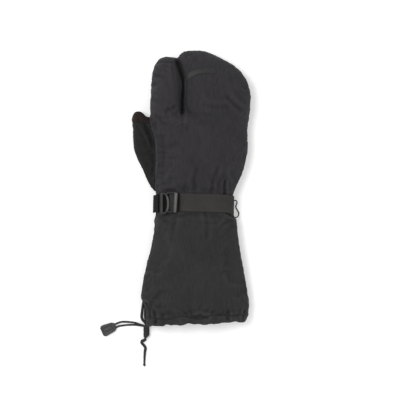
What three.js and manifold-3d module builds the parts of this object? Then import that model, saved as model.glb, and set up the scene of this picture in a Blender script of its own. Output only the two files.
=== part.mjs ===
// A lobster claw mitt: an insulated overmitt with a stall for the index finger, one for the three
// other fingers and one for the thumb, a long gauntlet, a webbing strap with a ladder-lock buckle at
// the wrist and a drawcord with its lock and puller at the hem.
// Millimetres, +Z up. The mitt lies palm down, fingers towards +Y, thumb towards -X.
import * as THREE from 'three';
import { mergeVertices } from 'three/addons/utils/BufferGeometryUtils.js';
import Module from 'manifold-3d';

const wasm = await Module();
wasm.setup();

// Driving sizes of the whole mitt
const mittLength = 375;
const mittWidth = 163.4;
const mittDepth = 48;

// Cloth and the gaps between pieces
const shellWall = 2.6;
const clearance = 0.3;
const seatGap = 0.6;
const seamHeight = 20;
const gatherDepth = 1.1;
const gathersAround = 9;

// Roundness of the sections, as powers of a superellipse, above and below their widest height
const upperPower = 2.35;
const lowerPower = 3.2;

// Hem
const hemHeight = 11;
const hemProud = 0.7;
const hemWall = 4.2;
const hemRise = 5;

// Wrist strap and its anchor
const strapWidth = 24.5;
const webbing = 1.4;
const strapDrop = 2.2;
const anchorFoot = 9;

// Ladder-lock buckle, lying on the strap
const buckleLength = 25;
const buckleWidth = 28.5;
const frameThickness = 2.6;
const railWidth = 3.4;
const tabLength = 13.4;
const tabBar = 4.2;
const tabEdge = 3.2;
const lipLength = 4.6;
const lipHeight = 5.2;
const lipSpan = 24;
const lipRounding = 2.4;
const frameCorner = 1.5;
const tabBulge = 1.4;

// Strip on the three-finger stall and the patch over the thumb's tip
const stripWidth = 7.6;
const stripThickness = 1.2;
const patchThickness = 1.2;
const patchLength = 13;

// Drawcord fittings
const elasticDiameter = 2.5;
const pullCordDiameter = 2.2;
const tailDiameter = 2.6;
const sideCordDiameter = 1.4;
const lockWidth = 8.2;
const lockLength = 19.6;
const lockThickness = 7;
const pullerLength = 21;
const pullerWidth = 16;
const pullerThickness = 5;
const pullerCorner = 5;
const pullerShoulder = 4;
const pullerSoftness = 1.2;
const lockChamfer = 2;
const lockSlant = 4.2;
const lockSoftness = 0.9;
const knotDiameter = 4.4;

// Fineness of the meshes
const longestStep = 14;
const cordSides = 8;
const knotSides = 12;
const ribbonSteps = 12;

// Sections of the main form. along runs from the hem, 0, to the longest finger's tip, 1, as a share
// of mittLength. left and right are shares of mittWidth, under and over shares of mittDepth.
const wristAlong = 0.4485;
const strapZone = 0.036;
const wrist = { left: -0.287, right: 0.354, under: 0.13, over: 0.78 };
const bodySections = [
  { along: 0, left: -0.3571, right: 0.4344, under: 0.03, over: 0.8 },
  { along: 0.031, left: -0.3611, right: 0.4632, under: -0.02, over: 0.86 },
  { along: 0.07, left: -0.367, right: 0.4791, under: -0.03, over: 0.89 },
  { along: 0.088, left: -0.3928, right: 0.484, under: -0.03, over: 0.9 },
  { along: 0.104, left: -0.4116, right: 0.483, under: -0.03, over: 0.9 },
  { along: 0.153, left: -0.4027, right: 0.4672, under: -0.03, over: 0.91 },
  { along: 0.225, left: -0.365, right: 0.4325, under: -0.03, over: 0.9 },
  { along: 0.284, left: -0.3254, right: 0.4087, under: 0, over: 0.87 },
  { along: 0.345, left: -0.3016, right: 0.3898, under: 0.05, over: 0.82 },
  { along: 0.385, left: -0.2976, right: 0.3849, under: 0.1, over: 0.8 },
  { along: wristAlong - strapZone, ...wrist },
  { along: wristAlong, ...wrist },
  { along: wristAlong + strapZone, ...wrist },
  { along: 0.4955, left: -0.2947, right: 0.371, under: 0.11, over: 0.8 },
  { along: 0.529, left: -0.2976, right: 0.4087, under: 0.05, over: 0.86 },
  { along: 0.588, left: -0.3095, right: 0.4533, under: -0.01, over: 0.93 },
  { along: 0.633, left: -0.3165, right: 0.4771, under: -0.03, over: 0.96 },
  { along: 0.67, left: -0.3204, right: 0.4731, under: -0.03, over: 0.97 },
  { along: 0.71, left: -0.3244, right: 0.4721, under: -0.03, over: 0.965 },
  { along: 0.74, left: -0.3294, right: 0.485, under: -0.03, over: 0.91 },
  { along: 0.758, left: -0.3274, right: 0.487, under: -0.03, over: 0.8 },
  { along: 0.772, left: -0.3214, right: 0.48, under: -0.02, over: 0.62 },
];
const indexSections = [
  { along: 0.66, left: -0.2976, right: -0.0811, under: -0.01, over: 0.8 },
  { along: 0.753, left: -0.3303, right: -0.0801, under: -0.02, over: 0.85 },
  { along: 0.82, left: -0.3303, right: -0.0761, under: -0.02, over: 0.86 },
  { along: 0.86, left: -0.3264, right: -0.0771, under: -0.01, over: 0.86 },
  { along: 0.9, left: -0.3214, right: -0.0841, under: 0, over: 0.83 },
  { along: 0.936, left: -0.3026, right: -0.1019, under: 0.03, over: 0.77 },
  { along: 0.958, left: -0.2778, right: -0.1128, under: 0.08, over: 0.68 },
  { along: 0.969, left: -0.252, right: -0.1218, under: 0.14, over: 0.59 },
  { along: 0.9757, left: -0.2253, right: -0.1376, under: 0.24, over: 0.46 },
];
const fingerSections = [
  { along: 0.66, left: -0.024, right: 0.4354, under: -0.01, over: 0.92 },
  { along: 0.753, left: -0.0498, right: 0.488, under: -0.02, over: 0.96 },
  { along: 0.816, left: -0.0527, right: 0.4999, under: -0.02, over: 0.98 },
  { along: 0.849, left: -0.0537, right: 0.4949, under: -0.02, over: 0.97 },
  { along: 0.885, left: -0.0567, right: 0.4721, under: -0.01, over: 0.94 },
  { along: 0.91, left: -0.0636, right: 0.4364, under: 0, over: 0.9 },
  { along: 0.9395, left: -0.0825, right: 0.37, under: 0.03, over: 0.82 },
  { along: 0.9576, left: -0.0954, right: 0.3036, under: 0.06, over: 0.76 },
  { along: 0.972, left: -0.1033, right: 0.2342, under: 0.1, over: 0.69 },
  { along: 0.9867, left: -0.0914, right: 0.1608, under: 0.16, over: 0.59 },
  { along: 1, left: -0.0537, right: 0.0587, under: 0.27, over: 0.44 },
];
const thumbSections = [
  { along: 0.492, left: -0.3234, right: -0.1545, under: 0.11, over: 0.47 },
  { along: 0.51, left: -0.3492, right: -0.1148, under: 0.08, over: 0.5 },
  { along: 0.5533, left: -0.3849, right: -0.095, under: 0.04, over: 0.54 },
  { along: 0.6, left: -0.4364, right: -0.1247, under: 0.035, over: 0.56 },
  { along: 0.6467, left: -0.4751, right: -0.1743, under: 0.035, over: 0.57 },
  { along: 0.69, left: -0.484, right: -0.2189, under: 0.035, over: 0.57 },
  { along: 0.73, left: -0.487, right: -0.3032, under: 0.04, over: 0.55 },
  { along: 0.755, left: -0.484, right: -0.3706, under: 0.06, over: 0.5 },
  { along: 0.767, left: -0.4721, right: -0.4023, under: 0.09, over: 0.44 },
  { along: 0.775, left: -0.4572, right: -0.4241, under: 0.14, over: 0.36 },
];

// Folds on the back of the mitt. across and along are the fold's middle as shares of mittWidth and
// mittLength, turn is in degrees from +Y, length and breadth are shares of mittWidth and depth is a
// share of mittDepth.
const folds = [
  { across: 0.287, along: 0.503, turn: 2, length: 0.075, breadth: 0.028, depth: 0.1 },
  { across: 0.327, along: 0.428, turn: -50, length: 0.05, breadth: 0.02, depth: 0.05 },
  { across: 0.377, along: 0.719, turn: 42, length: 0.055, breadth: 0.022, depth: 0.05 },
  { across: -0.285, along: 0.895, turn: 72, length: 0.06, breadth: 0.02, depth: 0.045 },
  { across: -0.235, along: 0.945, turn: 84, length: 0.07, breadth: 0.018, depth: 0.035 },
  { across: 0.04, along: 0.034, turn: 80, length: 0.05, breadth: 0.018, depth: 0.04 },
  { across: 0.307, along: 0.034, turn: 5, length: 0.04, breadth: 0.02, depth: 0.06 },
  { across: 0.425, along: 0.022, turn: -35, length: 0.04, breadth: 0.02, depth: 0.05 },
  { across: -0.3, along: 0.05, turn: 18, length: 0.07, breadth: 0.018, depth: 0.06 },
  { across: -0.24, along: 0.035, turn: 12, length: 0.06, breadth: 0.018, depth: 0.045 },
];

// The middle line of the strip on the three-finger stall, in shares of mittWidth and mittLength
const stripRoute = [
  { across: -0.036, along: 0.8775 },
  { across: 0, along: 0.9 },
  { across: 0.062, along: 0.9135 },
  { across: 0.15, along: 0.9185 },
  { across: 0.215, along: 0.921 },
];

// The profile of the knot in the release tail, in shares of its radius
const knotProfile = [
  { out: 0, up: -1.15 },
  { out: 0.62, up: -0.9 },
  { out: 1, up: -0.1 },
  { out: 0.75, up: 0.75 },
  { out: 0, up: 1 },
];

// Half widths of the puller on its way from its cord end to its shoulder, in shares of the widest
const pullerEnd = { tip: 0.42, bend: 0.62, shoulder: 0.82, farFlat: 0.55 };

// Routes of the cords, chosen points in millimetres in the mitt's own frame
const outerElasticRoute = [
  [-64.5, -156.6, 14], [-65.2, -161, 10.8], [-66.4, -169, 4.4], [-67.2, -176.4, 1.4],
  [-65.6, -180.9, 1.4], [-62.9, -183.4, 2.8], [-62.1, -185.3, 3.4],
];
const innerElasticRoute = [
  [-61.7, -160.4, 12], [-61.9, -164, 9.4], [-62.2, -170.5, 4.2], [-62.2, -176.2, 1.5],
  [-61.3, -180.4, 1.5], [-59.2, -183.3, 2.8], [-58.7, -185.3, 3.4],
];
const upperPullRoute = [
  [-64.9, -187.7, 5.2], [-68.3, -187, 3.8], [-76.3, -184.6, 1.4], [-88.8, -183.2, 1.3],
  [-95.5, -183.5, 1.3], [-100.4, -185, 1.8], [-103.3, -186.3, 2.4],
];
const lowerPullRoute = [
  [-64.9, -188.7, 2.2], [-68.3, -188.3, 1.5], [-76.3, -187.4, 1.3], [-88.8, -187.7, 1.3],
  [-94.6, -188.5, 1.3], [-98.6, -189.1, 1.8], [-101.5, -190.4, 2.4],
];
const tailRoute = [
  [-62, -206.6, 3.4], [-63.4, -208.3, 2.4], [-66.4, -209.4, 1.4], [-67, -212, 1.4],
  [-64.4, -215, 1.4], [-62, -218.8, 1.4], [-62.6, -223.6, 1.4], [-63.2, -232, 1.4],
  [-63.4, -239.4, 1.7],
];
const sideCordRoute = [
  [59.4, -16.4, 15], [61.6, -16.7, 13.6], [63.3, -18.2, 8.6], [63.4, -21, 3.8],
  [62.2, -24.8, 1.2], [63.4, -28.6, 0.8], [65.8, -32.4, 1.2], [65.8, -36.2, 4.6],
  [64.2, -39, 9.4], [62.6, -39.8, 13], [61, -39.8, 14.4],
];

const alongY = (along) => (along - 0.5) * mittLength;
const acrossX = (across) => across * mittWidth;
const depthZ = (share) => share * mittDepth;
const wristY = alongY(wristAlong);
const hemY = alongY(0);

// The columns of a section that are interpolated
const columns = ['left', 'right', 'under', 'over'];

// How far the folds press the cloth in at a place on the back of the mitt
function foldDepth(x, y) {
  let pressed = 0;
  for (const fold of folds) {
    const turn = THREE.MathUtils.degToRad(fold.turn);
    const dx = x - acrossX(fold.across);
    const dy = y - alongY(fold.along);
    const lengthwise = (dy * Math.cos(turn) + dx * Math.sin(turn)) / acrossX(fold.length);
    const crosswise = (dx * Math.cos(turn) - dy * Math.sin(turn)) / acrossX(fold.breadth);
    pressed += depthZ(fold.depth) * Math.exp(-lengthwise * lengthwise - crosswise * crosswise);
  }
  return pressed;
}

// Gathers swell the cloth next to the hem and on both sides of the strap
function gather(y, angle) {
  const hemFade = Math.exp(-(((y - hemY) / (2 * hemHeight)) ** 2));
  const fromStrap = (Math.abs(y - wristY) - 0.75 * strapWidth) / (0.5 * strapWidth);
  const strapFade = Math.exp(-((fromStrap - 0.6) ** 2) * 2.2) * (fromStrap > 0 ? 1 : 0);
  const hemWave = Math.cos(gathersAround * angle) + 0.5 * Math.cos((gathersAround + 4) * angle + 1);
  const strapWave = Math.cos((gathersAround - 2) * angle + 0.7);
  return gatherDepth * (hemFade * hemWave + 0.6 * strapFade * strapWave);
}

// Rows between the given sections, no further apart than longestStep
function stations(sections) {
  const places = sections.map((section) => section.along);
  const values = sections.flatMap((section) => columns.map((column) => section[column]));
  const curve = new THREE.CubicInterpolant(places, values, columns.length, new Float64Array(columns.length));
  const rows = [];
  for (let i = 0; i + 1 < places.length; i += 1) {
    const steps = Math.max(1, Math.round(((places[i + 1] - places[i]) * mittLength) / longestStep));
    for (let step = 0; step < steps; step += 1) {
      rows.push(places[i] + ((places[i + 1] - places[i]) * step) / steps);
    }
  }
  rows.push(places[places.length - 1]);
  return rows.map((along) => {
    const [left, right, under, over] = curve.evaluate(along);
    return { along, left, right, under, over };
  });
}

// A closed form through horizontal rows of sections. grow moves its skin outwards, or inwards where it
// is negative. openStart runs it on past its first row, so that it cuts a mouth there.
function loft(sections, { around, widest, grow = 0, openStart = false, gathered = false }) {
  const rows = stations(sections);
  const firstY = alongY(rows[0].along);
  const lastY = alongY(rows[rows.length - 1].along);
  const stretch = (lastY + grow - firstY) / (lastY - firstY);
  const placed = rows.map((row) => ({ ...row, y: firstY + (alongY(row.along) - firstY) * stretch }));
  if (openStart) {
    placed.unshift({ ...placed[0], y: firstY - 2 * clearance });
  }
  const positions = [];
  for (const row of placed) {
    const middle = acrossX((row.left + row.right) / 2);
    const halfWidth = Math.max(acrossX((row.right - row.left) / 2) + grow, clearance);
    const upper = Math.max(depthZ(row.over) - widest + grow, clearance);
    const lower = Math.max(widest - depthZ(row.under) + grow, clearance);
    for (let i = 0; i < around; i += 1) {
      const angle = (i / around) * 2 * Math.PI;
      const power = 2 / (angle < Math.PI ? upperPower : lowerPower);
      const sideways = Math.sign(Math.cos(angle)) * Math.abs(Math.cos(angle)) ** (2 / upperPower);
      const upright = Math.sign(Math.sin(angle)) * Math.abs(Math.sin(angle)) ** power;
      const swell = gathered ? gather(row.y, angle) : 0;
      const x = middle + (halfWidth + swell * Math.abs(Math.cos(angle))) * sideways;
      const pressed = upright > 0 ? foldDepth(x, row.y) * upright : 0;
      const reach = upright > 0 ? upper : lower;
      const z = widest + (reach + swell) * upright - pressed;
      positions.push(x, row.y, Math.max(z, -grow));
    }
  }
  return skin(positions, placed.length, around);
}

// Joins rings of points into one closed mesh with a flat fan at each end
function skin(positions, rings, around) {
  const indices = [];
  for (let ring = 0; ring + 1 < rings; ring += 1) {
    for (let i = 0; i < around; i += 1) {
      const next = (i + 1) % around;
      const a = ring * around + i;
      const b = ring * around + next;
      indices.push(a, a + around, b, b, a + around, b + around);
    }
  }
  for (const ring of [0, rings - 1]) {
    const start = ring * around;
    const middle = positions.length / 3;
    const sum = [0, 0, 0];
    for (let i = 0; i < around; i += 1) {
      for (let axis = 0; axis < 3; axis += 1) {
        sum[axis] += positions[(start + i) * 3 + axis] / around;
      }
      const next = start + ((i + 1) % around);
      indices.push(...(ring === 0 ? [middle, start + i, next] : [middle, next, start + i]));
    }
    positions.push(...sum);
  }
  const geometry = new THREE.BufferGeometry();
  geometry.setAttribute('position', new THREE.Float32BufferAttribute(positions, 3));
  geometry.setIndex(indices);
  return solid(geometry);
}

// A closed three.js mesh as a solid that can be joined and cut
function solid(geometry) {
  const bare = geometry.clone();
  bare.deleteAttribute('normal');
  bare.deleteAttribute('uv');
  const merged = mergeVertices(bare, 1e-4);
  return new wasm.Manifold(new wasm.Mesh({
    numProp: 3,
    vertProperties: new Float32Array(merged.attributes.position.array),
    triVerts: new Uint32Array(merged.index.array),
  }));
}

// A solid back as geometry with a flat normal on each face
function geometryOf(body) {
  const mesh = body.getMesh();
  const geometry = new THREE.BufferGeometry();
  geometry.setAttribute('position', new THREE.BufferAttribute(new Float32Array(mesh.vertProperties), 3));
  geometry.setIndex(new THREE.BufferAttribute(new Uint32Array(mesh.triVerts), 1));
  geometry.computeVertexNormals();
  return geometry;
}

// A box between two corners, turned about +Z around a place on the mitt if asked
function block(low, high, turn = 0, [pivotX, pivotY] = [0, 0]) {
  const size = high.map((value, axis) => value - low[axis]);
  const geometry = new THREE.BoxGeometry(...size);
  geometry.translate(...low.map((value, axis) => value + size[axis] / 2));
  geometry.translate(-pivotX, -pivotY, 0);
  geometry.rotateZ(turn);
  geometry.translate(pivotX, pivotY, 0);
  return solid(geometry);
}

const far = mittLength;
const slab = (fromY, toY, fromZ = -far, toZ = far) => block([-far, fromY, fromZ], [far, toY, toZ]);

const bodyForm = (grow, openStart = false) => loft(
  bodySections,
  { around: 36, widest: seamHeight, grow, openStart, gathered: true },
);
const indexForm = (grow) => loft(indexSections, { around: 20, widest: seamHeight, grow });
const fingerForm = (grow) => loft(fingerSections, { around: 26, widest: seamHeight, grow });
const thumbForm = (grow) => loft(thumbSections, { around: 20, widest: 0.7 * seamHeight, grow });

// The hollow shell before it is split into its panels
const outside = bodyForm(0).add(indexForm(0)).add(fingerForm(0));
const hollow = bodyForm(-shellWall, true).add(indexForm(-shellWall)).add(fingerForm(-shellWall));
const shell = outside.subtract(hollow);

// The hem rises a little from the thumb's side to the little finger's side
const hemTurn = Math.atan2(hemRise, acrossX(bodySections[0].right - bodySections[0].left));
const hemPivot = [acrossX(bodySections[0].left), hemY];
const hemTop = hemY + hemHeight;
const hemSlab = (fromY, toY, fromZ, toZ) => block(
  [-far, fromY, fromZ],
  [far, toY, toZ],
  hemTurn,
  hemPivot,
);
const thumbOpening = thumbForm(clearance);

function handPanel(fromZ, toZ) {
  const panel = shell.intersect(slab(wristY + clearance / 2, far, fromZ, toZ));
  return panel.subtract(thumbOpening);
}

function gauntletPanel(fromZ, toZ) {
  const panel = shell.intersect(slab(hemY, wristY - clearance / 2, fromZ, toZ));
  return panel.intersect(hemSlab(hemTop + clearance, far, -far, far));
}

// The hem is a thicker channel of folded cloth with the drawcord inside it
function hemBand() {
  const band = bodyForm(hemProud).subtract(bodyForm(hemProud - hemWall, true));
  return band.intersect(hemSlab(hemY, hemTop, 0, far));
}

function thumbStall() {
  return thumbForm(0).subtract(thumbForm(-shellWall)).subtract(hollow);
}

// A leather patch wraps the tip of the thumb
function thumbPatch() {
  const tipY = alongY(thumbSections[thumbSections.length - 1].along);
  const patch = thumbForm(clearance + patchThickness).subtract(thumbForm(clearance));
  const beside = bodyForm(clearance).add(indexForm(clearance));
  return patch.intersect(slab(tipY - patchLength, far, 0, far)).subtract(beside);
}

// The strap's edges turn a little about the wrist, so that its right end lies lower
const strapTurn = -Math.atan2(strapDrop, mittWidth * (wrist.right - wrist.left));
const strapSlab = (width, fromX, toX, fromZ) => block(
  [fromX, wristY - width / 2, fromZ],
  [toX, wristY + width / 2, far],
  strapTurn,
  [0, wristY],
);

function wristStrap() {
  const band = bodyForm(clearance + webbing).subtract(bodyForm(clearance));
  return band.intersect(strapSlab(strapWidth, -far, far, -far));
}

// The buckle's own place: its middle on the strap and its slope there
const buckleMiddleX = acrossX(-0.1815);
function strapTopAt(x) {
  const middle = acrossX((wrist.left + wrist.right) / 2);
  const halfWidth = acrossX((wrist.right - wrist.left) / 2) + clearance + webbing;
  const reach = depthZ(wrist.over) - seamHeight + clearance + webbing;
  return seamHeight + reach * (1 - Math.abs((x - middle) / halfWidth) ** upperPower) ** (1 / upperPower);
}
const buckleSlope = Math.atan2(
  strapTopAt(buckleMiddleX + 0.4 * buckleLength) - strapTopAt(buckleMiddleX - 0.4 * buckleLength),
  0.8 * buckleLength,
);

// The short webbing that holds the buckle lies over the strap on its left side
function strapAnchor() {
  const inner = clearance + webbing + clearance;
  const band = bodyForm(inner + webbing).subtract(bodyForm(inner));
  const endX = buckleMiddleX - buckleLength / 2 - clearance;
  return band.intersect(strapSlab(strapWidth - 2 * clearance, -far, endX, anchorFoot));
}

// The D-shaped tab, two rails and the raised lip, all one moulding
function buckle() {
  const half = buckleWidth / 2;
  const left = -buckleLength / 2;
  const tabRight = left + tabLength;
  const curveStart = left + 0.45 * tabLength;
  const lipMiddle = buckleLength / 2 - lipLength / 2;
  const outline = new THREE.Shape();
  outline.moveTo(left + frameCorner, -half);
  outline.lineTo(curveStart, -half);
  outline.quadraticCurveTo(tabRight - frameCorner, -half, tabRight, -half + railWidth);
  outline.lineTo(lipMiddle, -half + railWidth * 0.6);
  outline.lineTo(lipMiddle, half - railWidth * 0.6);
  outline.lineTo(tabRight, half - railWidth);
  outline.quadraticCurveTo(tabRight - frameCorner, half, curveStart, half);
  outline.lineTo(left + frameCorner, half);
  outline.quadraticCurveTo(left, half, left, half - frameCorner);
  outline.lineTo(left, -half + frameCorner);
  outline.quadraticCurveTo(left, -half, left + frameCorner, -half);
  outline.holes.push(tabHole(left, half), webbingSlot(tabRight, half));
  const frame = solid(new THREE.ExtrudeGeometry(
    outline,
    { depth: frameThickness, bevelEnabled: false, curveSegments: 5 },
  ));
  const lip = new THREE.Shape();
  lip.moveTo(-lipLength / 2, 0);
  lip.lineTo(lipLength / 2, 0);
  lip.lineTo(lipLength / 2, lipHeight - lipRounding);
  lip.quadraticCurveTo(lipLength / 2, lipHeight, 0, lipHeight);
  lip.quadraticCurveTo(-lipLength / 2, lipHeight, -lipLength / 2, lipHeight - lipRounding);
  const bar = new THREE.ExtrudeGeometry(lip, { depth: lipSpan, bevelEnabled: false, curveSegments: 4 });
  bar.rotateX(Math.PI / 2);
  bar.translate(lipMiddle, lipSpan / 2, 0);
  return frame.add(solid(bar));
}

// The opening of the D, straight on the left and round on the right
function tabHole(left, half) {
  const hole = new THREE.Path();
  const holeHalf = half - tabEdge;
  const holeLeft = left + tabBar;
  const holeRight = left + tabLength - tabEdge;
  hole.moveTo(holeLeft, -holeHalf);
  hole.lineTo(holeLeft, holeHalf);
  hole.quadraticCurveTo(holeRight + tabBulge, holeHalf * 0.9, holeRight, 0);
  hole.quadraticCurveTo(holeRight + tabBulge, -holeHalf * 0.9, holeLeft, -holeHalf);
  return hole;
}

// The slot where the webbing comes up and turns over the lip
function webbingSlot(tabRight, half) {
  const slot = new THREE.Path();
  const slotHalf = half - 1.5 * railWidth;
  const slotRight = buckleLength / 2 - lipLength;
  slot.moveTo(tabRight, -slotHalf);
  slot.lineTo(tabRight, slotHalf);
  slot.lineTo(slotRight, slotHalf);
  slot.lineTo(slotRight, -slotHalf);
  slot.lineTo(tabRight, -slotHalf);
  return slot;
}

// A ribbon of even width along a curve, as an upright prism
function ribbonPrism(route, width) {
  const curve = new THREE.CatmullRomCurve3(
    route.map(({ across, along }) => new THREE.Vector3(acrossX(across), alongY(along), 0)),
  );
  const sides = [[], []];
  for (let i = 0; i <= ribbonSteps; i += 1) {
    const point = curve.getPoint(i / ribbonSteps);
    const tangent = curve.getTangent(i / ribbonSteps);
    sides[0].push(new THREE.Vector2(point.x - (tangent.y * width) / 2, point.y + (tangent.x * width) / 2));
    sides[1].unshift(new THREE.Vector2(point.x + (tangent.y * width) / 2, point.y - (tangent.x * width) / 2));
  }
  const geometry = new THREE.ExtrudeGeometry(
    new THREE.Shape([...sides[1].reverse(), ...sides[0].reverse()]),
    { depth: far, bevelEnabled: false },
  );
  geometry.translate(0, 0, seamHeight);
  return solid(geometry);
}

// The strip starts inside the slit and arcs over the back of the three-finger stall
function fingerStrip() {
  const band = fingerForm(clearance + stripThickness).subtract(fingerForm(clearance));
  return band.intersect(ribbonPrism(stripRoute, stripWidth));
}

// A tube of one section along chosen points
function cord(route, diameter) {
  const section = new THREE.Shape();
  section.absarc(0, 0, diameter / 2, 0, 2 * Math.PI);
  const curve = new THREE.CatmullRomCurve3(
    route.map(([x, y, z]) => new THREE.Vector3(x, y, Math.max(z, diameter / 2 + 0.02))),
    false,
    'centripetal',
  );
  const steps = Math.max(8, Math.round(curve.getLength() / (2.4 * diameter)));
  const outline = new THREE.Shape(section.getPoints(cordSides).slice(0, cordSides));
  return new THREE.ExtrudeGeometry(outline, { steps, extrudePath: curve, bevelEnabled: false });
}

// A flat moulded block with softened upper and lower edges
function mouldedPlate(outline, thickness, softness) {
  const geometry = new THREE.ExtrudeGeometry(outline, {
    depth: thickness - 2 * softness,
    bevelEnabled: true,
    bevelThickness: softness,
    bevelSize: softness,
    bevelOffset: -softness,
    bevelSegments: 2,
    curveSegments: 5,
  });
  geometry.translate(0, 0, softness);
  return geometry;
}

// The lock's middle hangs on the two elastics and its foot is cut at a slant
function cordLock() {
  const w = lockWidth / 2;
  const l = lockLength / 2;
  const outline = new THREE.Shape();
  outline.moveTo(-w + lockChamfer, l);
  outline.lineTo(-w, l - lockChamfer);
  outline.lineTo(-w, -l + lockChamfer);
  outline.lineTo(-w + lockChamfer, -l);
  outline.lineTo(0, -l);
  outline.lineTo(w, -l + lockSlant);
  outline.lineTo(w, l - lockChamfer);
  outline.lineTo(w - lockChamfer, l);
  return mouldedPlate(outline, lockThickness, lockSoftness);
}

// The puller widens from its cord end to a rounded far edge
function cordPuller() {
  const l = pullerLength / 2;
  const w = pullerWidth / 2;
  const bendX = l - pullerShoulder / 4;
  const shoulderX = l - pullerShoulder;
  const outline = new THREE.Shape();
  outline.moveTo(l, -pullerEnd.tip * w);
  outline.lineTo(l, pullerEnd.tip * w);
  outline.quadraticCurveTo(bendX, pullerEnd.bend * w, shoulderX, pullerEnd.shoulder * w);
  outline.lineTo(-l + pullerCorner, w);
  outline.quadraticCurveTo(-l, w, -l, pullerEnd.farFlat * w);
  outline.lineTo(-l, -pullerEnd.farFlat * w);
  outline.quadraticCurveTo(-l, -w, -l + pullerCorner, -w);
  outline.lineTo(shoulderX, -pullerEnd.shoulder * w);
  outline.quadraticCurveTo(bendX, -pullerEnd.bend * w, l, -pullerEnd.tip * w);
  return mouldedPlate(outline, pullerThickness, pullerSoftness);
}

// A knot in the release tail, turned from a short profile
function tailKnot() {
  const radius = knotDiameter / 2;
  const profile = knotProfile.map(({ out, up }) => new THREE.Vector2(out * radius, up * radius));
  return new THREE.LatheGeometry(profile, knotSides);
}

const finishes = {
  cloth: { color: 0x37363a, roughness: 0.9, metalness: 0 },
  palm: { color: 0x2b2a2b, roughness: 0.85, metalness: 0 },
  thumb: { color: 0x29282a, roughness: 0.88, metalness: 0 },
  leather: { color: 0x6f4f38, roughness: 0.7, metalness: 0 },
  webbing: { color: 0x3f3d3a, roughness: 0.8, metalness: 0 },
  plastic: { color: 0x2c2b2a, roughness: 0.35, metalness: 0 },
  strip: { color: 0x47474a, roughness: 0.6, metalness: 0 },
  elastic: { color: 0x2e2e2f, roughness: 0.8, metalness: 0 },
  puller: { color: 0x58585a, roughness: 0.5, metalness: 0 },
};

const mitt = new THREE.Group();

function piece(name, shape, finish) {
  const geometry = shape.getMesh ? geometryOf(shape) : shape;
  const mesh = new THREE.Mesh(geometry, new THREE.MeshStandardMaterial(finishes[finish]));
  mesh.name = name;
  mitt.add(mesh);
  return mesh;
}

piece('hand_back', handPanel(seamHeight + clearance / 2, far), 'cloth');
piece('hand_palm', handPanel(-far, seamHeight - clearance / 2), 'palm');
piece('thumb_stall', thumbStall(), 'thumb');
piece('thumb_patch', thumbPatch(), 'leather');
piece('gauntlet_back', gauntletPanel(seamHeight + clearance / 2, far), 'cloth');
piece('gauntlet_palm', gauntletPanel(-far, seamHeight - clearance / 2), 'palm');
piece('hem_band', hemBand(), 'cloth');
piece('wrist_strap', wristStrap(), 'webbing');
piece('strap_anchor', strapAnchor(), 'webbing');
piece('finger_strip', fingerStrip(), 'strip');

const buckleMesh = piece('buckle', buckle(), 'plastic');
buckleMesh.rotation.set(0, -buckleSlope, 0);
buckleMesh.position.set(buckleMiddleX, wristY, strapTopAt(buckleMiddleX) + clearance);

const cordPieces = [
  piece('elastic_outer', cord(outerElasticRoute, elasticDiameter), 'elastic'),
  piece('elastic_inner', cord(innerElasticRoute, elasticDiameter), 'elastic'),
  piece('pull_cord_upper', cord(upperPullRoute, pullCordDiameter), 'elastic'),
  piece('pull_cord_lower', cord(lowerPullRoute, pullCordDiameter), 'elastic'),
  piece('release_tail', cord(tailRoute, tailDiameter), 'elastic'),
  piece('side_cord', cord(sideCordRoute, sideCordDiameter), 'elastic'),
];

// The fittings lie where the cords' chosen ends reach them
const endOf = (route) => new THREE.Vector3(...route[route.length - 1]);
const lock = piece('cord_lock', cordLock(), 'plastic');
const lockTop = endOf(outerElasticRoute).add(endOf(innerElasticRoute)).multiplyScalar(0.5);
lock.position.set(lockTop.x, lockTop.y - seatGap - lockLength / 2, 0);

const puller = piece('cord_puller', cordPuller(), 'puller');
const pullEnd = endOf(upperPullRoute).add(endOf(lowerPullRoute)).multiplyScalar(0.5);
const pullSpread = endOf(upperPullRoute).sub(endOf(lowerPullRoute));
const pullTurn = Math.atan2(pullSpread.y, pullSpread.x) - Math.PI / 2;
const toPuller = new THREE.Vector3(-Math.cos(pullTurn), -Math.sin(pullTurn), 0);
puller.rotation.z = pullTurn;
puller.position.copy(pullEnd).addScaledVector(toPuller, clearance + pullerLength / 2).setZ(0);

const knot = piece('tail_knot', tailKnot(), 'elastic');
knot.position.copy(endOf(tailRoute)).add(new THREE.Vector3(0, -seatGap - knotDiameter / 2, 0));
knot.position.z = knotDiameter / 2;
cordPieces.push(lock, puller, knot);

// The mitt without its cords stands centred over the origin, on the surface
mitt.updateMatrixWorld(true);
const held = new THREE.Box3();
for (const mesh of mitt.children) {
  if (!cordPieces.includes(mesh)) {
    held.expandByObject(mesh, true);
  }
}
const middle = held.getCenter(new THREE.Vector3());
mitt.position.set(-middle.x, -middle.y, -held.min.z);

export default mitt;
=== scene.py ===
import math

import bmesh
import bpy
import numpy as np
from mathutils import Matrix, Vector
from mathutils.bvhtree import BVHTree
from mathutils.kdtree import KDTree


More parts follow.
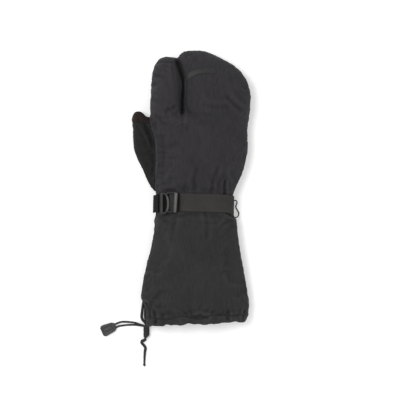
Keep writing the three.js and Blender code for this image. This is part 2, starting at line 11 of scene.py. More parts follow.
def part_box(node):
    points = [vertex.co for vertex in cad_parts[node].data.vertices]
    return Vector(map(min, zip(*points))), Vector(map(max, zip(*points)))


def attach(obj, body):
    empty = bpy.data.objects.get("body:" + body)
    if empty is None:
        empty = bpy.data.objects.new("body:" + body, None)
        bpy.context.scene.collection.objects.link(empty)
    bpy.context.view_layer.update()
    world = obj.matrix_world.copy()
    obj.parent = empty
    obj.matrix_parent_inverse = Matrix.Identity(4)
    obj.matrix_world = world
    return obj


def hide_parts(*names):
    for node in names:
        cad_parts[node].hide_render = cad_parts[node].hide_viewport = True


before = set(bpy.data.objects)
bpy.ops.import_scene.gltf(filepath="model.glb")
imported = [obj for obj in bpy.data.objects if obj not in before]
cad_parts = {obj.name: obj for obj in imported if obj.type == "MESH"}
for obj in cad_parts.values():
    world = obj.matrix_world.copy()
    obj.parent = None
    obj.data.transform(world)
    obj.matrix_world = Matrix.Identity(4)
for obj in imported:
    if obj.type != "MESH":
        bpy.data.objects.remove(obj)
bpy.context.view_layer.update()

MM = 0.001
SEED = 7

# Camera: straight above the mitt
CAMERA_LENS = 135
SENSOR_WIDTH = 36
FRAME_WIDTH = 544 * MM
FRAME_MIDDLE = (12.56 * MM, -16.05 * MM)
OUTLINE_HEIGHT = 20 * MM

# Light and floor: each light's name, place, power and size
LIGHTS = (
    ("key", (-0.6, 0.3, 1.7), 14, 0.7),
    ("rim", (-1.3, 0.9, 0.9), 5, 0.6),
    ("fill", (0.9, -0.5, 1.4), 6, 1.2),
)
WORLD_STRENGTH = 0.55
FLOOR_HALF = 3
FLOOR_DROP = 0.3 * MM

# Cloth: the grid of the remesh, and the walls, which are pressed thin towards their seams
VOXEL = 2.55 * MM
CLOTH_WALL = 1.5 * MM
SEAM_MARGIN = 6 * MM
SEAM_WALL_SHARE = 0.2
SEAM_HEIGHT = 20 * MM
HEM_CHANNEL = 13 * MM
RIDGE = 0.35 * MM

# Rounds of smoothing, and how much of the form that it takes away is given back
SMOOTHING = 26
FORM_GIVEN_BACK = (-0.5 * MM, 1.6 * MM)

# The plug in the hem's mouth, and the cloth simulation's frames and its furthest move
PLUG_INSET = np.array([0.955, 0.3, 0.93])
PLUG_SHIFT = 3.2 * MM
SIM_FRAMES = 18
SIM_LIMIT = 2.6 * MM

# Webbing: the strap drops across the wrist and bends down at its two sides, and has ribbed selvedges.
# The stitched points are the places of its two rows of stitches among the points of its profile
STRAP_WIDTH = 24.5 * MM
WEBBING = 1.4 * MM
STRAP_DROP = 2.2 * MM
STRAP_BEND = 2.8 * MM
WRIST_MIDDLE = 5.3 * MM
WRIST_REACH = 54.3 * MM
PROFILE_POINTS = 57
STITCHED_POINTS = (5, 51)
SELVEDGE = 3.4 * MM
RIB_PITCH = 1.5 * MM

# Cords: how close their points are, as a share of the diameter, and how far they lie off the surface
CORD_STEP = 0.45
CORD_CLEARANCE = 0.02 * MM

# Points in millimetres along each cord's route, from its first end to its last
OUTER_ELASTIC = [
    (-64.5, -156.6, 14), (-65.2, -161, 10.8), (-66.4, -169, 4.4), (-67.2, -176.4, 1.4),
    (-65.6, -180.9, 1.4), (-62.9, -183.4, 2.8), (-62.1, -185.3, 3.4),
]
INNER_ELASTIC = [
    (-61.7, -160.4, 12), (-61.9, -164, 9.4), (-62.2, -170.5, 4.2), (-62.2, -176.2, 1.5),
    (-61.3, -180.4, 1.5), (-59.2, -183.3, 2.8), (-58.7, -185.3, 3.4),
]
UPPER_PULL = [
    (-64.9, -187.7, 5.2), (-68.3, -187, 3.8), (-76.3, -184.6, 1.4), (-88.8, -183.2, 1.3),
    (-95.5, -183.5, 1.3), (-100.4, -185, 1.8), (-103.3, -186.3, 2.4),
]
LOWER_PULL = [
    (-64.9, -188.7, 2.2), (-68.3, -188.3, 1.5), (-76.3, -187.4, 1.3), (-88.8, -187.7, 1.3),
    (-94.6, -188.5, 1.3), (-98.6, -189.1, 1.8), (-101.5, -190.4, 2.4),
]
TAIL = [
    (-62, -206.6, 3.4), (-63.4, -208.3, 2.4), (-66.4, -209.4, 1.4), (-67, -212, 1.4),
    (-64.4, -215, 1.4), (-62, -218.8, 1.4), (-62.6, -223.6, 1.4), (-63.2, -232, 1.4),
    (-63.4, -239.4, 1.7), (-63.4, -241.6, 1.8),
]
SIDE_CORD = [
    (59.4, -16.4, 15), (61.6, -16.7, 13.6), (63.3, -18.2, 8.6), (63.4, -21, 3.8),
    (62.2, -24.8, 1.2), (63.4, -28.6, 0.8), (65.8, -32.4, 1.2), (65.8, -36.2, 4.6),
    (64.2, -39, 9.4), (62.6, -39.8, 13), (61, -39.8, 14.4),
]

# Creases on the back of the mitt, in millimetres: the line that each follows, its depth, its breadth,
# and on which side of the line the cloth stands up in a ridge
CREASES = [
    ([(46.4, 8), (45.8, 1), (46.2, -8)], 3.0, 1.8, 1),
    ([(-73, 92), (-66, 78.3), (-58, 66), (-55.4, 56)], -1.9, 2.4, 1),
    ([(-62, 88), (-57, 74), (-52.5, 62)], 2.0, 2.2, -1),
    ([(-51.5, 60), (-51, 40), (-52, 20)], 1.0, 2.2, 1),
    ([(49.3, -33.7), (53, -36), (58, -38.8)], 2.4, 1.8, -1),
    ([(50, 121), (58, 113), (67, 106)], 1.0, 3.4, 1),
    ([(62, 127), (68, 120), (72, 115)], 0.5, 3.0, -1),
    ([(-60, 143), (-52, 139.5), (-47, 140.5)], 1.1, 2.8, 1),
    ([(-60, 120), (-54, 121.5), (-48, 119)], 0.9, 3.2, -1),
    ([(-57, 151), (-48, 153), (-39, 150)], 0.6, 3.0, 1),
    ([(-51, 166), (-40, 170.5), (-27, 170)], 0.9, 1.8, -1),
    ([(-12.5, 99), (-11, 93), (-11.5, 88)], 0.5, 2.4, 1),
    ([(-20, 101), (-26, 97), (-33, 95.5)], 0.4, 2.6, -1),
    ([(-2, 103), (10, 99), (26, 99)], 0.4, 3.2, -1),
    ([(20, 111), (36, 108), (48, 109)], 0.6, 3.6, 1),
    ([(-38, 66), (-37, 40), (-38, 14)], 0.8, 3.4, 1),
    ([(-61, -157), (-56, -165), (-54, -176)], 3.6, 2.0, 1),
    ([(-55, -159), (-50, -168), (-47.5, -179)], 3.0, 2.2, -1),
    ([(5, -172), (13, -170), (22, -174)], 1.9, 1.8, 1),
    ([(51, -169), (50.6, -178)], 2.4, 2.0, 1),
    ([(73, -167), (69.5, -182)], 2.2, 1.8, -1),
    ([(20, -35), (22, -48), (21, -64)], 0.7, 3.4, 1),
    ([(-20, -36), (-23, -50), (-26, -68)], 0.8, 3.2, -1),
    ([(5, -4), (4, 10), (8, 24)], 0.7, 3.2, 1),
    ([(28, -4), (30, 12), (36, 26)], 0.9, 2.8, -1),
]

# The middle line of the slit between the index stall and the finger stall, as (y, x) in millimetres
SLIT_LINE = [
    (97, -11.2), (118, -10.9), (138, -10), (150, -10.9), (163.5, -14.6), (170, -16.8), (180, -20),
]
WEB_ALONG = (97, 170)
WEB_HALF = 5
WEB_HEIGHTS = np.array([7, 21]) * MM
SLIT_DEPTH = 9.5 * MM
SLIT_BREADTH = 1.6 * MM
SLIT_START = 99.5 * MM
SLIT_END = 173 * MM
SLIT_BLUNT = 0.9 * MM
SLIT_MOUTH = 1.7 * MM
STALLS_FROM = 106 * MM
STALL_REACH = 12 * MM
STALL_GAP = 0.9 * MM

# The seam between the thumb's cloth and the back of the hand, as (y, x) in millimetres
THUMB_SEAM = [(-6, -48.8), (38, -48), (68, -48.6), (82, -54.1), (91.4, -56.4)]

# The middle line of the strip on the three-finger stall, in millimetres
STRIP_LINE = [(-8.2, 145.8), (-4.4, 149.8), (3.4, 154.1), (16, 157.6), (26.2, 158.2), (34.4, 156.3)]
STRIP_WIDTH = 7.4 * MM
STRIP_THICKNESS = 1.3 * MM
STRIP_STEP = 0.8 * MM
STRIP_POINTS = 17

# The buckle, in millimetres from its middle: half of the tab's D, and rods as points, radius and height
# as a share of breadth
TAB_SIDE = [
    (-10.6, 0), (-10.6, 8), (-10.2, 11.7), (-8, 12.6), (-5.2, 12.2), (-2.6, 9.6), (-1.1, 5.4), (-0.6, 0),
]
TAB_RADIUS = 1.75
BUCKLE_RODS = (
    ([(-8.7, -13.2, 1.7), (-8.7, -1.4, 1.7), (-8.7, 10.4, 1.7)], 2.4, 0.75),
    ([(9.9, -13.2, 3.1), (11, 0, 3.1), (12.1, 12.8, 3.1)], 2.7, 0.85),
    ([(-3.4, -11.4, 1.2), (2, -12.9, 0.9), (9.6, -12.9, 1.6)], 1.15, 1),
    ([(-3.4, 11.4, 1.2), (2, 12.9, 0.9), (9.6, 12.9, 1.6)], 1.15, 1),
)
BUCKLE_REACH = 10 * MM
BUCKLE_LIFT = 0.3 * MM

# The lock's ribs, and the puller's sunk field and raised bar as half length and half breadth
LOCK_RIBS = 6
PULLER_SHIFT = 0.6 * MM
PULLER_FIELD = np.array([6.6, 4.8]) * MM
PULLER_BAR = np.array([3.4, 1.3]) * MM


def linked(name, mesh):
    made = bpy.data.objects.new(name, mesh)
    bpy.context.scene.collection.objects.link(made)
    return made


def mesh_of(name, points, faces):
    mesh = bpy.data.meshes.new(name)
    mesh.from_pydata([tuple(p) for p in points], [], [tuple(f) for f in faces])
    mesh.update()
    mesh.shade_smooth()
    return mesh


def values_of(items, key, width=1, kind=float):
    """One property of all of a mesh's items, as an array with a row for each item."""
    flat = np.empty(len(items) * width, kind)
    items.foreach_get(key, flat)
    return flat.reshape(-1, width) if width > 1 else flat


def points_of(mesh):
    return values_of(mesh.vertices, "co", 3)


def put_points(mesh, points):
    mesh.vertices.foreach_set("co", points.ravel())
    mesh.update()


def edges_of(mesh):
    return values_of(mesh.edges, "vertices", 2, int)


def normals_of(mesh):
    return values_of(mesh.vertex_normals, "vector", 3)


def surface_of(mesh):
    return BVHTree.FromPolygons([v.co for v in mesh.vertices], [f.vertices for f in mesh.polygons])


def put_values(mesh, name, values):
    mesh.attributes.new(name, "FLOAT", "POINT").data.foreach_set("value", np.asarray(values, np.float32))


def evaluated(made):
    """The object's mesh with its modifiers applied, as a new mesh."""
    return bpy.data.meshes.new_from_object(made.evaluated_get(bpy.context.evaluated_depsgraph_get()))


def apply_modifiers(made):
    mesh = evaluated(made)
    made.modifiers.clear()
    made.data = mesh


def ring_faces(rings, size, start=0, closed=False):
    """Faces between rings of this many points that follow each other."""
    faces = []
    for ring in range(rings if closed else rings - 1):
        first = start + ring * size
        second = start + (ring + 1) % rings * size
        for j in range(size):
            k = (j + 1) % size
            faces.append((first + j, first + k, second + k, second + j))
    return faces


def end_faces(rings, size, start=0):
    """The faces that close the first and the last of such rings."""
    first = [start + j for j in range(size)]
    last = [start + (rings - 1) * size + j for j in range(size)]
    return [first[::-1], last]


def relaxed(points, edges, rounds, free=None):
    """Each point moved halfway to the mean of its neighbours, a few rounds over."""
    count = np.maximum(np.bincount(edges.ravel(), minlength=len(points)), 1)
    first, second = edges.T
    for _ in range(rounds):
        total = np.empty_like(points)
        for axis in range(points.shape[1]):
            total[:, axis] = np.bincount(first, points[second, axis], len(points))
            total[:, axis] += np.bincount(second, points[first, axis], len(points))
        move = (total / count[:, None] - points) * 0.5
        if free is not None:
            move *= free[:, None]
        points = points + move
    return points


def relaxed_line(line, rounds):
    """The line smoothed between its two ends, which stay in place."""
    edges = np.array([(i, i + 1) for i in range(len(line) - 1)])
    free = np.ones(len(line))
    free[[0, -1]] = 0
    return relaxed(line, edges, rounds, free)


def waves(points, wavelength, seed, count=24):
    """A smooth random field from -1 to 1, of about this wavelength."""
    draw = np.random.RandomState(SEED + seed)
    directions = draw.normal(size=(count, 3))
    directions /= np.linalg.norm(directions, axis=1)[:, None]
    lengths = wavelength * draw.uniform(0.7, 1.5, count)
    phases = draw.uniform(0, 2 * math.pi, count)
    total = np.zeros(len(points))
    for direction, length, phase in zip(directions, lengths, phases):
        total += np.cos(points @ direction * (2 * math.pi / length) + phase)
    return total / math.sqrt(count)


def faded(distance, reach):
    return np.exp(-(distance / reach) ** 2)


def waned(distance, reach):
    """Falls from 1 at an edge towards 0 away from it."""
    return np.exp(-np.clip(distance, 0, 1) / reach)


def risen(values, place, breadth):
    """Rises smoothly from 0 to 1 round this place."""
    return 1 / (1 + np.exp(-(values - place) / breadth))


# Materials

def blank(name, roughness, **values):
    """A material with a Principled surface, with its node tree and that shader."""
    made = bpy.data.materials.new(name)
    made.use_nodes = True
    tree = made.node_tree
    shader = tree.nodes["Principled BSDF"]
    shader.inputs["Roughness"].default_value = roughness
    for key, value in values.items():
        shader.inputs[key.replace("_", " ")].default_value = value
    return made, tree, shader


def join(tree, target, value):
    """Links a socket to the target, or sets a plain value on it."""
    if isinstance(value, bpy.types.NodeSocket):
        tree.links.new(value, target)
    else:
        target.default_value = value


def node(tree, kind, **sockets):
    made = tree.nodes.new(kind)
    for name, value in sockets.items():
        join(tree, made.inputs[name.replace("_", " ")], value)
    return made


def maths(tree, operation, first, second):
    made = tree.nodes.new("ShaderNodeMath")
    made.operation = operation
    join(tree, made.inputs[0], first)
    join(tree, made.inputs[1], second)
    return made.outputs[0]


def mixed(tree, *terms):
    """The sum of some sockets, each times its share."""
    total = None
    for value, share in terms:
        part = value if share == 1 else maths(tree, "MULTIPLY", value, share)
        total = part if total is None else maths(tree, "ADD", total, part)
    return total


def attribute(tree, name):
    made = tree.nodes.new("ShaderNodeAttribute")
    made.attribute_name = name
    return made.outputs["Fac"]


def pattern_place(tree):
    """The place on the flat pattern of a panel or strap, in metres."""
    made = tree.nodes.new("ShaderNodeUVMap")
    made.uv_map = "Pattern"
    return made.outputs["UV"]


def object_place(tree):
    return tree.nodes.new("ShaderNodeTexCoord").outputs["Object"]


def scaled(tree, vector, factors):
    return node(tree, "ShaderNodeMapping", Vector=vector, Scale=factors).outputs["Vector"]


def noise(tree, vector, scale, detail=3.0):
    return node(tree, "ShaderNodeTexNoise", Vector=vector, Scale=scale, Detail=detail).outputs["Fac"]


def coloured(tree, shader, factor, low, high, dark, light):
    """Colours the surface from dark to light, as the factor goes from low to high."""
    made = node(tree, "ShaderNodeValToRGB", Fac=factor)
    first, second = made.color_ramp.elements
    first.position = low
    first.color = (*dark, 1)
    second.position = high
    second.color = (*light, 1)
    tree.links.new(made.outputs["Color"], shader.inputs["Base Color"])


def bumped(tree, shader, height, strength, distance):
    made = node(tree, "ShaderNodeBump", Height=height, Strength=strength, Distance=distance)
    tree.links.new(made.outputs["Normal"], shader.inputs["Normal"])


def bands(tree, vector, axis, pitch):
    """Even ridges, one for each pitch along the axis."""
    made = node(tree, "ShaderNodeTexWave", Vector=vector, Scale=2 * math.pi / (20 * pitch))
    made.bands_direction = axis
    return made.outputs["Fac"]


def fabric(name, dark, light, thread, relief=0.22):
    """Woven cloth on the flat pattern of its panel, with slubs along the grain, paler worn ridges, and
    painted shade in its hollows and in the slit between the stalls.
    """
    made, tree, shader = blank(
        name, 0.9, Sheen_Weight=0.05, Sheen_Roughness=0.45, Specular_IOR_Level=0.2,
    )
    place = pattern_place(tree)
    woven = mixed(tree, (bands(tree, place, "X", thread), 0.5), (bands(tree, place, "Y", thread), 0.5))
    slubs = noise(tree, scaled(tree, place, (900, 70, 1)), 1.0)
    specks = noise(tree, scaled(tree, place, (700, 700, 1)), 1.0)
    broad = noise(tree, scaled(tree, place, (24, 18, 1)), 1.0, 4.0)
    # Paler on worn ridges, and darker with painted shade in hollows and in the slit
    worn = attribute(tree, "ridge")
    tone = mixed(tree, (slubs, 0.42), (specks, 0.22), (broad, 0.24), (woven, 0.02), (worn, 0.16))
    coloured(tree, shader, tone, 0.25, 0.8, dark, light)
    bumped(tree, shader, mixed(tree, (woven, 0.3), (slubs, 0.6)), relief, 0.2 * MM)
    return made


def webbing(name, dark, light):
    """Strap webbing: u runs along it and v across it. Its shade attribute darkens it with painted shade.
    """
    made, tree, shader = blank(
        name, 0.85, Sheen_Weight=0.02, Sheen_Roughness=0.4, Specular_IOR_Level=0.08,
    )
    place = pattern_place(tree)
    picks = bands(tree, place, "X", 1.1 * MM)
    cords = bands(tree, place, "Y", 1.5 * MM)
    woven = mixed(tree, (picks, 0.5), (cords, 0.5))
    grain = noise(tree, scaled(tree, place, (500, 900, 1)), 1.0)
    broad = noise(tree, scaled(tree, place, (40, 60, 1)), 1.0)
    shaded = attribute(tree, "shade")
    tone = mixed(tree, (woven, 0.35), (grain, 0.4), (broad, 0.25), (shaded, -0.7))
    coloured(tree, shader, tone, 0.0, 0.75, dark, light)
    bumped(tree, shader, mixed(tree, (woven, 1), (grain, 0.5)), 0.5, 0.3 * MM)
    return made


def moulded(name, dark, light, roughness):
    """Moulded plastic or rubber with a fine grain and an uneven gloss, paler by its attribute, which gives
    the strip its tone and paints highlights on the buckle and the strip.
    """
    made, tree, shader = blank(name, roughness, Specular_IOR_Level=0.3)
    place = object_place(tree)
    blotch = noise(tree, place, 160)
    tone = mixed(tree, (blotch, 0.1), (attribute(tree, "tone_and_highlight"), 1))
    coloured(tree, shader, tone, 0.0, 1.0, dark, light)
    gloss = maths(tree, "ADD", mixed(tree, (blotch, 0.16)), roughness - 0.08)
    tree.links.new(gloss, shader.inputs["Roughness"])
    bumped(tree, shader, noise(tree, place, 2600, 2.0), 0.06, 0.05 * MM)
    return made


def leather(name, dark, light):
    """Leather with a fine pebbled grain, paler where it's worn."""
    made, tree, shader = blank(name, 0.75, Specular_IOR_Level=0.12)
    place = object_place(tree)
    pebble = node(tree, "ShaderNodeTexVoronoi", Vector=place, Scale=900).outputs["Distance"]
    blotch = noise(tree, place, 120, 4.0)
    tone = mixed(tree, (blotch, 0.06), (attribute(tree, "tone_and_highlight"), 1))
    coloured(tree, shader, tone, 0.0, 1.0, dark, light)
    bumped(tree, shader, mixed(tree, (pebble, 1), (blotch, 0.6)), 0.4, 0.3 * MM)
    return made


def yarn(name, dark, light, scale):
    """Braided cord and thread: the braid's relief is in the mesh, this is its fibre."""
    made, tree, shader = blank(
        name, 0.75, Sheen_Weight=0.06, Sheen_Roughness=0.4, Specular_IOR_Level=0.3,
    )
    fibre = noise(tree, object_place(tree), scale)
    coloured(tree, shader, fibre, 0.3, 0.7, dark, light)
    bumped(tree, shader, fibre, 0.3, 0.15 * MM)
    return made


def grey(value, warmth=0.0):
    return (value * (1 + warmth), value, value * (1 - warmth))


SHELL_CLOTH = fabric("shell_cloth", (0.0132, 0.0124, 0.0138), (0.0445, 0.0415, 0.0462), 0.9 * MM)
GAUNTLET_CLOTH = fabric("gauntlet_cloth", grey(0.0125), grey(0.0415), 0.9 * MM)
PALM_CLOTH = fabric("palm_cloth", grey(0.009), grey(0.024), 1.3 * MM, relief=0.5)
THUMB_CLOTH = fabric("thumb_cloth", grey(0.006), grey(0.0195), 0.9 * MM)
PATCH_LEATHER = leather("patch_leather", (0.0145, 0.01, 0.0092), (0.11, 0.068, 0.043))
STRAP_WEBBING = webbing("strap_webbing", grey(0.0075, 0.05), grey(0.05, 0.05))
# The strip's paler colour gives its own tone, and its painted highlight at the left end
STRIP_RUBBER = moulded("strip_rubber", grey(0.009), grey(0.034), 0.7)
# The buckle's paler colour is reached only where a highlight is painted on it
PLASTIC = moulded("buckle_plastic", grey(0.007, 0.03), grey(0.1, 0.0), 0.4)
PULLER_RUBBER = moulded("puller_rubber", grey(0.04), grey(0.06), 0.42)
CORD_YARN = yarn("cord_braid", grey(0.012), grey(0.035), 1500)
THREAD = yarn("stitch_thread", grey(0.012), grey(0.028), 3000)
PALE_THREAD = yarn("pale_thread", grey(0.04), grey(0.075), 3000)


def finished(made, material, slot, *replaced):
    """The piece with its material, riding on the mitt, in place of the nodes it stands for. The slot is
    not used.
    """
    if not made.data.materials:
        made.data.materials.append(material)
    else:
        made.data.materials[0] = material
    if replaced:
        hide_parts(*replaced)
    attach(made, "root")
    return made


# Camera, light and floor

def studio():
    scene = bpy.context.scene
    scene.view_settings.view_transform = "Standard"
    camera = bpy.data.cameras.new("camera")
    camera.lens = CAMERA_LENS
    camera.sensor_width = SENSOR_WIDTH
    holder = linked("camera", camera)
    holder.location = (*FRAME_MIDDLE, OUTLINE_HEIGHT + FRAME_WIDTH * CAMERA_LENS / SENSOR_WIDTH)
    scene.camera = holder

    world = bpy.data.worlds.new("studio")
    world.use_nodes = True
    background = world.node_tree.nodes["Background"]
    background.inputs["Color"].default_value = (1, 1, 1, 1)
    background.inputs["Strength"].default_value = WORLD_STRENGTH
    scene.world = world
    for name, place, power, size in LIGHTS:
        light = bpy.data.lights.new(name, "AREA")
        light.energy = power
        light.size = size
        lamp = linked(name, light)
        lamp.location = place
        lamp.rotation_euler = (-Vector(place)).to_track_quat("-Z", "Y").to_euler()

    corners = [(x * FLOOR_HALF, y * FLOOR_HALF, 0) for x, y in ((-1, -1), (1, -1), (1, 1), (-1, 1))]
    floor = linked("floor", mesh_of("floor", corners, [(0, 1, 2, 3)]))
    floor.location.z = -FLOOR_DROP
    paper = blank(
        "floor_paper", 0.9, Base_Color=(0.93, 0.93, 0.93, 1), Emission_Color=(1, 1, 1, 1),
        Emission_Strength=0.22,
    )[0]
    floor.data.materials.append(paper)


# Cords

def spline(points, spacing):
    """Points close together on the smooth centripetal curve through the given ones."""
    given = np.array(points, float)
    padded = np.vstack([2 * given[0] - given[1], given, 2 * given[-1] - given[-2]])
    fine = []
    for i in range(1, len(padded) - 2):
        a, b, c, d = padded[i - 1:i + 3]
        t0 = 0
        t1 = t0 + math.sqrt(np.linalg.norm(b - a))
        t2 = t1 + math.sqrt(np.linalg.norm(c - b))
        t3 = t2 + math.sqrt(np.linalg.norm(d - c))
        for t in np.linspace(t1, t2, 24, endpoint=False):
            ab = (t1 - t) / (t1 - t0) * a + (t - t0) / (t1 - t0) * b
            bc = (t2 - t) / (t2 - t1) * b + (t - t1) / (t2 - t1) * c
            cd = (t3 - t) / (t3 - t2) * c + (t - t2) / (t3 - t2) * d
            abc = (t2 - t) / (t2 - t0) * ab + (t - t0) / (t2 - t0) * bc
            bcd = (t3 - t) / (t3 - t1) * bc + (t - t1) / (t3 - t1) * cd
            fine.append((t2 - t) / (t2 - t1) * abc + (t - t1) / (t2 - t1) * bcd)
    fine.append(given[-1])
    return resampled(np.array(fine), spacing)


def run_along(points):
    """How far each point of a line is from its start, along the line."""
    return np.concatenate([[0], np.cumsum(np.linalg.norm(np.diff(points, axis=0), axis=1))])


def resampled(points, spacing):
    """The line with even steps of about this length."""
    along = run_along(points)
    count = max(2, int(round(along[-1] / spacing)) + 1)
    places = np.linspace(0, along[-1], count)
    return np.stack([np.interp(places, along, points[:, axis]) for axis in range(3)], 1)


def tangents_of(path):
    along = np.gradient(path, axis=0)
    return along / np.linalg.norm(along, axis=1)[:, None]


def tube_parts(path, radii, sides=16, braid=0.0, turns=900.0, height=1.0):
    """Points and faces of a tube with round ends along a path. radii is one radius, or one for each point
    of the path, braid is the relief of its two sets of strands, and height is the section's height as a
    share of its width."""
    radii = np.broadcast_to(radii, len(path))
    directions = tangents_of(path)
    upright = np.array([0.0, 0.0, 1.0])
    if abs(directions[0] @ upright) > 0.9:
        upright = np.array([1.0, 0.0, 0.0])
    points = []
    for place, along, radius, run in zip(path, directions, radii, run_along(path)):
        upright = upright - (upright @ along) * along
        upright /= np.linalg.norm(upright)
        across = np.cross(along, upright)
        for side in range(sides):
            angle = 2 * math.pi * side / sides
            weave = math.sin(4 * angle + turns * run) * math.sin(4 * angle - turns * run)
            out = math.cos(angle) * height * upright + math.sin(angle) * across
            points.append(place + radius * (1 + braid * weave) * out)
    faces = ring_faces(len(path), sides)
    for ring, inner in ((0, -1), (len(path) - 1, 1)):
        centre = len(points)
        points.append(path[ring] + directions[ring] * inner * radii[ring] * 0.4)
        for side in range(sides):
            a, b = ring * sides + side, ring * sides + (side + 1) % sides
            faces.append((a, centre, b) if ring == 0 else (b, centre, a))
    return points, faces


def tube(name, path, radii, **shape):
    return linked(name, mesh_of(name, *tube_parts(path, radii, **shape)))


def frame_shift():
    """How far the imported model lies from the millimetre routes, as the lock shows."""
    low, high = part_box("cord_lock")
    ends = (np.array(OUTER_ELASTIC[-1]) + np.array(INNER_ELASTIC[-1])) / 2 * MM
    return (low.x + high.x) / 2 - ends[0]


def laid_route(points, diameter):
    """The route in metres in the frame, no lower than a cord that lies on the surface."""
    route = np.array(points, float) * MM
    route[:, 2] = np.maximum(route[:, 2], diameter / 2 + CORD_CLEARANCE)
    route[:, 0] += frame_shift()
    return spline(route, CORD_STEP * diameter)


def free_cord(
    name, node_name, points, diameter,
    lead_in=None, thick=1.0, taper=0.0,
):
    """One cord along its route. lead_in starts it a little inside the cloth that it comes out of, thick is
    how much fuller it's drawn than its diameter, and taper is what it loses of that by its far end."""
    path = laid_route(points, diameter)
    if lead_in is not None:
        start = path[0] + np.array(lead_in) * MM
        path = resampled(np.vstack([start, path]), CORD_STEP * diameter)
    radii = thick * diameter / 2 * (1 - taper * np.linspace(0, 1, len(path)) ** 2)
    path[:, 2] = np.maximum(path[:, 2], radii + CORD_CLEARANCE)
    made = tube(name, path, radii, braid=0.05, turns=2.2 / diameter)
    finished(made, CORD_YARN, "cord_braid", node_name)


# Moulded fittings

def softened(made, voxel, rounds):
    """Remeshed finely, with its edges rounded as a moulding's are."""
    remesh = made.modifiers.new("remesh", "REMESH")
    remesh.mode = "VOXEL"
    remesh.voxel_size = voxel
    apply_modifiers(made)
    mesh = made.data
    put_points(mesh, relaxed(points_of(mesh), edges_of(mesh), rounds))
    mesh.shade_smooth()
    return made


def soft_copy(name, source, voxel, rounds):
    return softened(linked(name, source.data.copy()), voxel, rounds)


def make_buckle():
    """A D-shaped tab, two low rails beside the webbing and the raised lip that the webbing turns over,
    with painted highlights on the lip and the tab.
    """
    ring = wrap_ring("wrist_strap")
    low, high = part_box("buckle")
    middle_x, middle_y = (low.x + high.x) / 2, (low.y + high.y) / 2
    upper = ring[ring[:, 1] > SEAM_HEIGHT]
    upper = upper[np.argsort(upper[:, 0])]
    left_z, middle_z, right_z = np.interp(
        [middle_x - BUCKLE_REACH, middle_x, middle_x + BUCKLE_REACH], upper[:, 0], upper[:, 1],
    )
    slope = math.atan2(right_z - left_z, 2 * BUCKLE_REACH)

    tab = TAB_SIDE + [(x, -y) for x, y in TAB_SIDE[-2:0:-1]] + TAB_SIDE[:1]
    tab = np.array([(x + 1.1, y * 1.06 - 1.4, 1.7) for x, y in tab]) * MM
    parts = [tube_parts(spline(tab, 0.4 * MM), TAB_RADIUS * MM, height=0.85)]
    for line, radius, share in BUCKLE_RODS:
        parts.append(tube_parts(resampled(np.array(line) * MM, 0.5 * MM), radius * MM, height=share))
    points, faces = [], []
    for some, shapes in parts:
        faces += [[len(points) + i for i in face] for face in shapes]
        points += some
    x, y, z = np.array(points).T
    placed = np.stack([
        middle_x + x * math.cos(slope) - z * math.sin(slope),
        middle_y + y,
        middle_z + BUCKLE_LIFT + x * math.sin(slope) + z * math.cos(slope),
    ], 1)
    made = softened(linked("ladder_lock", mesh_of("ladder_lock", placed, faces)), 0.32 * MM, 3)
    x, y, _ = (points_of(made.data) - [middle_x, middle_y, middle_z]).T
    # Painted highlights: the lip's upward faces are palest, and the tab's frame round its hole is paler
    lip_highlight = faded(x - 11 * MM, 2.9 * MM) * np.clip(normals_of(made.data)[:, 2], 0, 1)
    tab_highlight = np.exp(-(x / (4.6 * MM)) ** 8 - ((y + 1.4 * MM) / (9.6 * MM)) ** 8)
    put_values(made.data, "tone_and_highlight", np.maximum(lip_highlight, 0.05 + 0.5 * tab_highlight))
    finished(made, PLASTIC, "buckle_plastic", "buckle")


def make_lock():
    """The lock has fine ribs across a low waist on its upper face."""
    made = soft_copy("drawcord_lock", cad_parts["cord_lock"], 0.3 * MM, 3)
    mesh = made.data
    points = points_of(mesh)
    low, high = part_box("cord_lock")
    height = (points[:, 1] - low.y) / (high.y - low.y)
    upper = points[:, 2] > (low.z + high.z) / 2
    ribs = np.sin(height * 2 * math.pi * LOCK_RIBS) * ((height > 0.3) & (height < 0.7))
    waist = abs(height - 0.5) < 0.22
    points[:, 2] += np.where(upper, 0.3 * MM * ribs - 0.25 * MM * waist, 0)
    put_points(mesh, points)
    return finished(made, PLASTIC, "buckle_plastic", "cord_lock")


def make_puller():
    """The puller has a sunk field on its upper face with a plain raised bar along it."""
    made = soft_copy("zip_style_puller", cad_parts["cord_puller"], 0.36 * MM, 3)
    mesh = made.data
    points = points_of(mesh)
    low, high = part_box("cord_puller")
    middle = np.array([(low.x + high.x) / 2, (low.y + high.y) / 2])
    ends = (np.array(UPPER_PULL[-1]) + np.array(LOWER_PULL[-1]))[:2] / 2 * MM
    ends[0] += frame_shift()
    along = middle - ends
    along /= np.linalg.norm(along)
    across = np.array([-along[1], along[0]])
    away = (points[:, :2] - middle) @ np.array([along, across]).T - [PULLER_SHIFT, 0]
    field = np.abs(away / PULLER_FIELD).max(1)
    bar = np.abs(away / PULLER_BAR).max(1)
    sunk = 0.7 * MM * (1 - risen(field, 1, 1 / 26)) - 0.5 * MM * (1 - risen(bar, 1, 1 / 12))
    points[:, 2] -= np.where(points[:, 2] > 0.7 * high.z, sunk, 0)
    put_points(mesh, points)
    return finished(made, PULLER_RUBBER, "puller_rubber", "cord_puller")


def make_knot():
    """An overhand knot drawn tight, as a thick strand that crosses over itself."""
    low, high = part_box("tail_knot")
    centre = np.array((low + high) / 2)
    radius = (high.x - low.x) / 2
    turn = np.linspace(0, 2 * math.pi, 120, endpoint=False)
    path = np.stack([
        (np.sin(turn) + 1.5 * np.sin(2 * turn)) * 0.24,
        (np.cos(turn) - 1.5 * np.cos(2 * turn)) * 0.26,
        -np.sin(3 * turn) * 0.28,
    ], 1) * radius + centre
    path = np.vstack([path, path[:1]])
    made = tube("end_knot", path, 0.36 * radius, sides=12, braid=0.05, turns=1500)
    return finished(made, CORD_YARN, "cord_braid", "tail_knot")


# Cloth

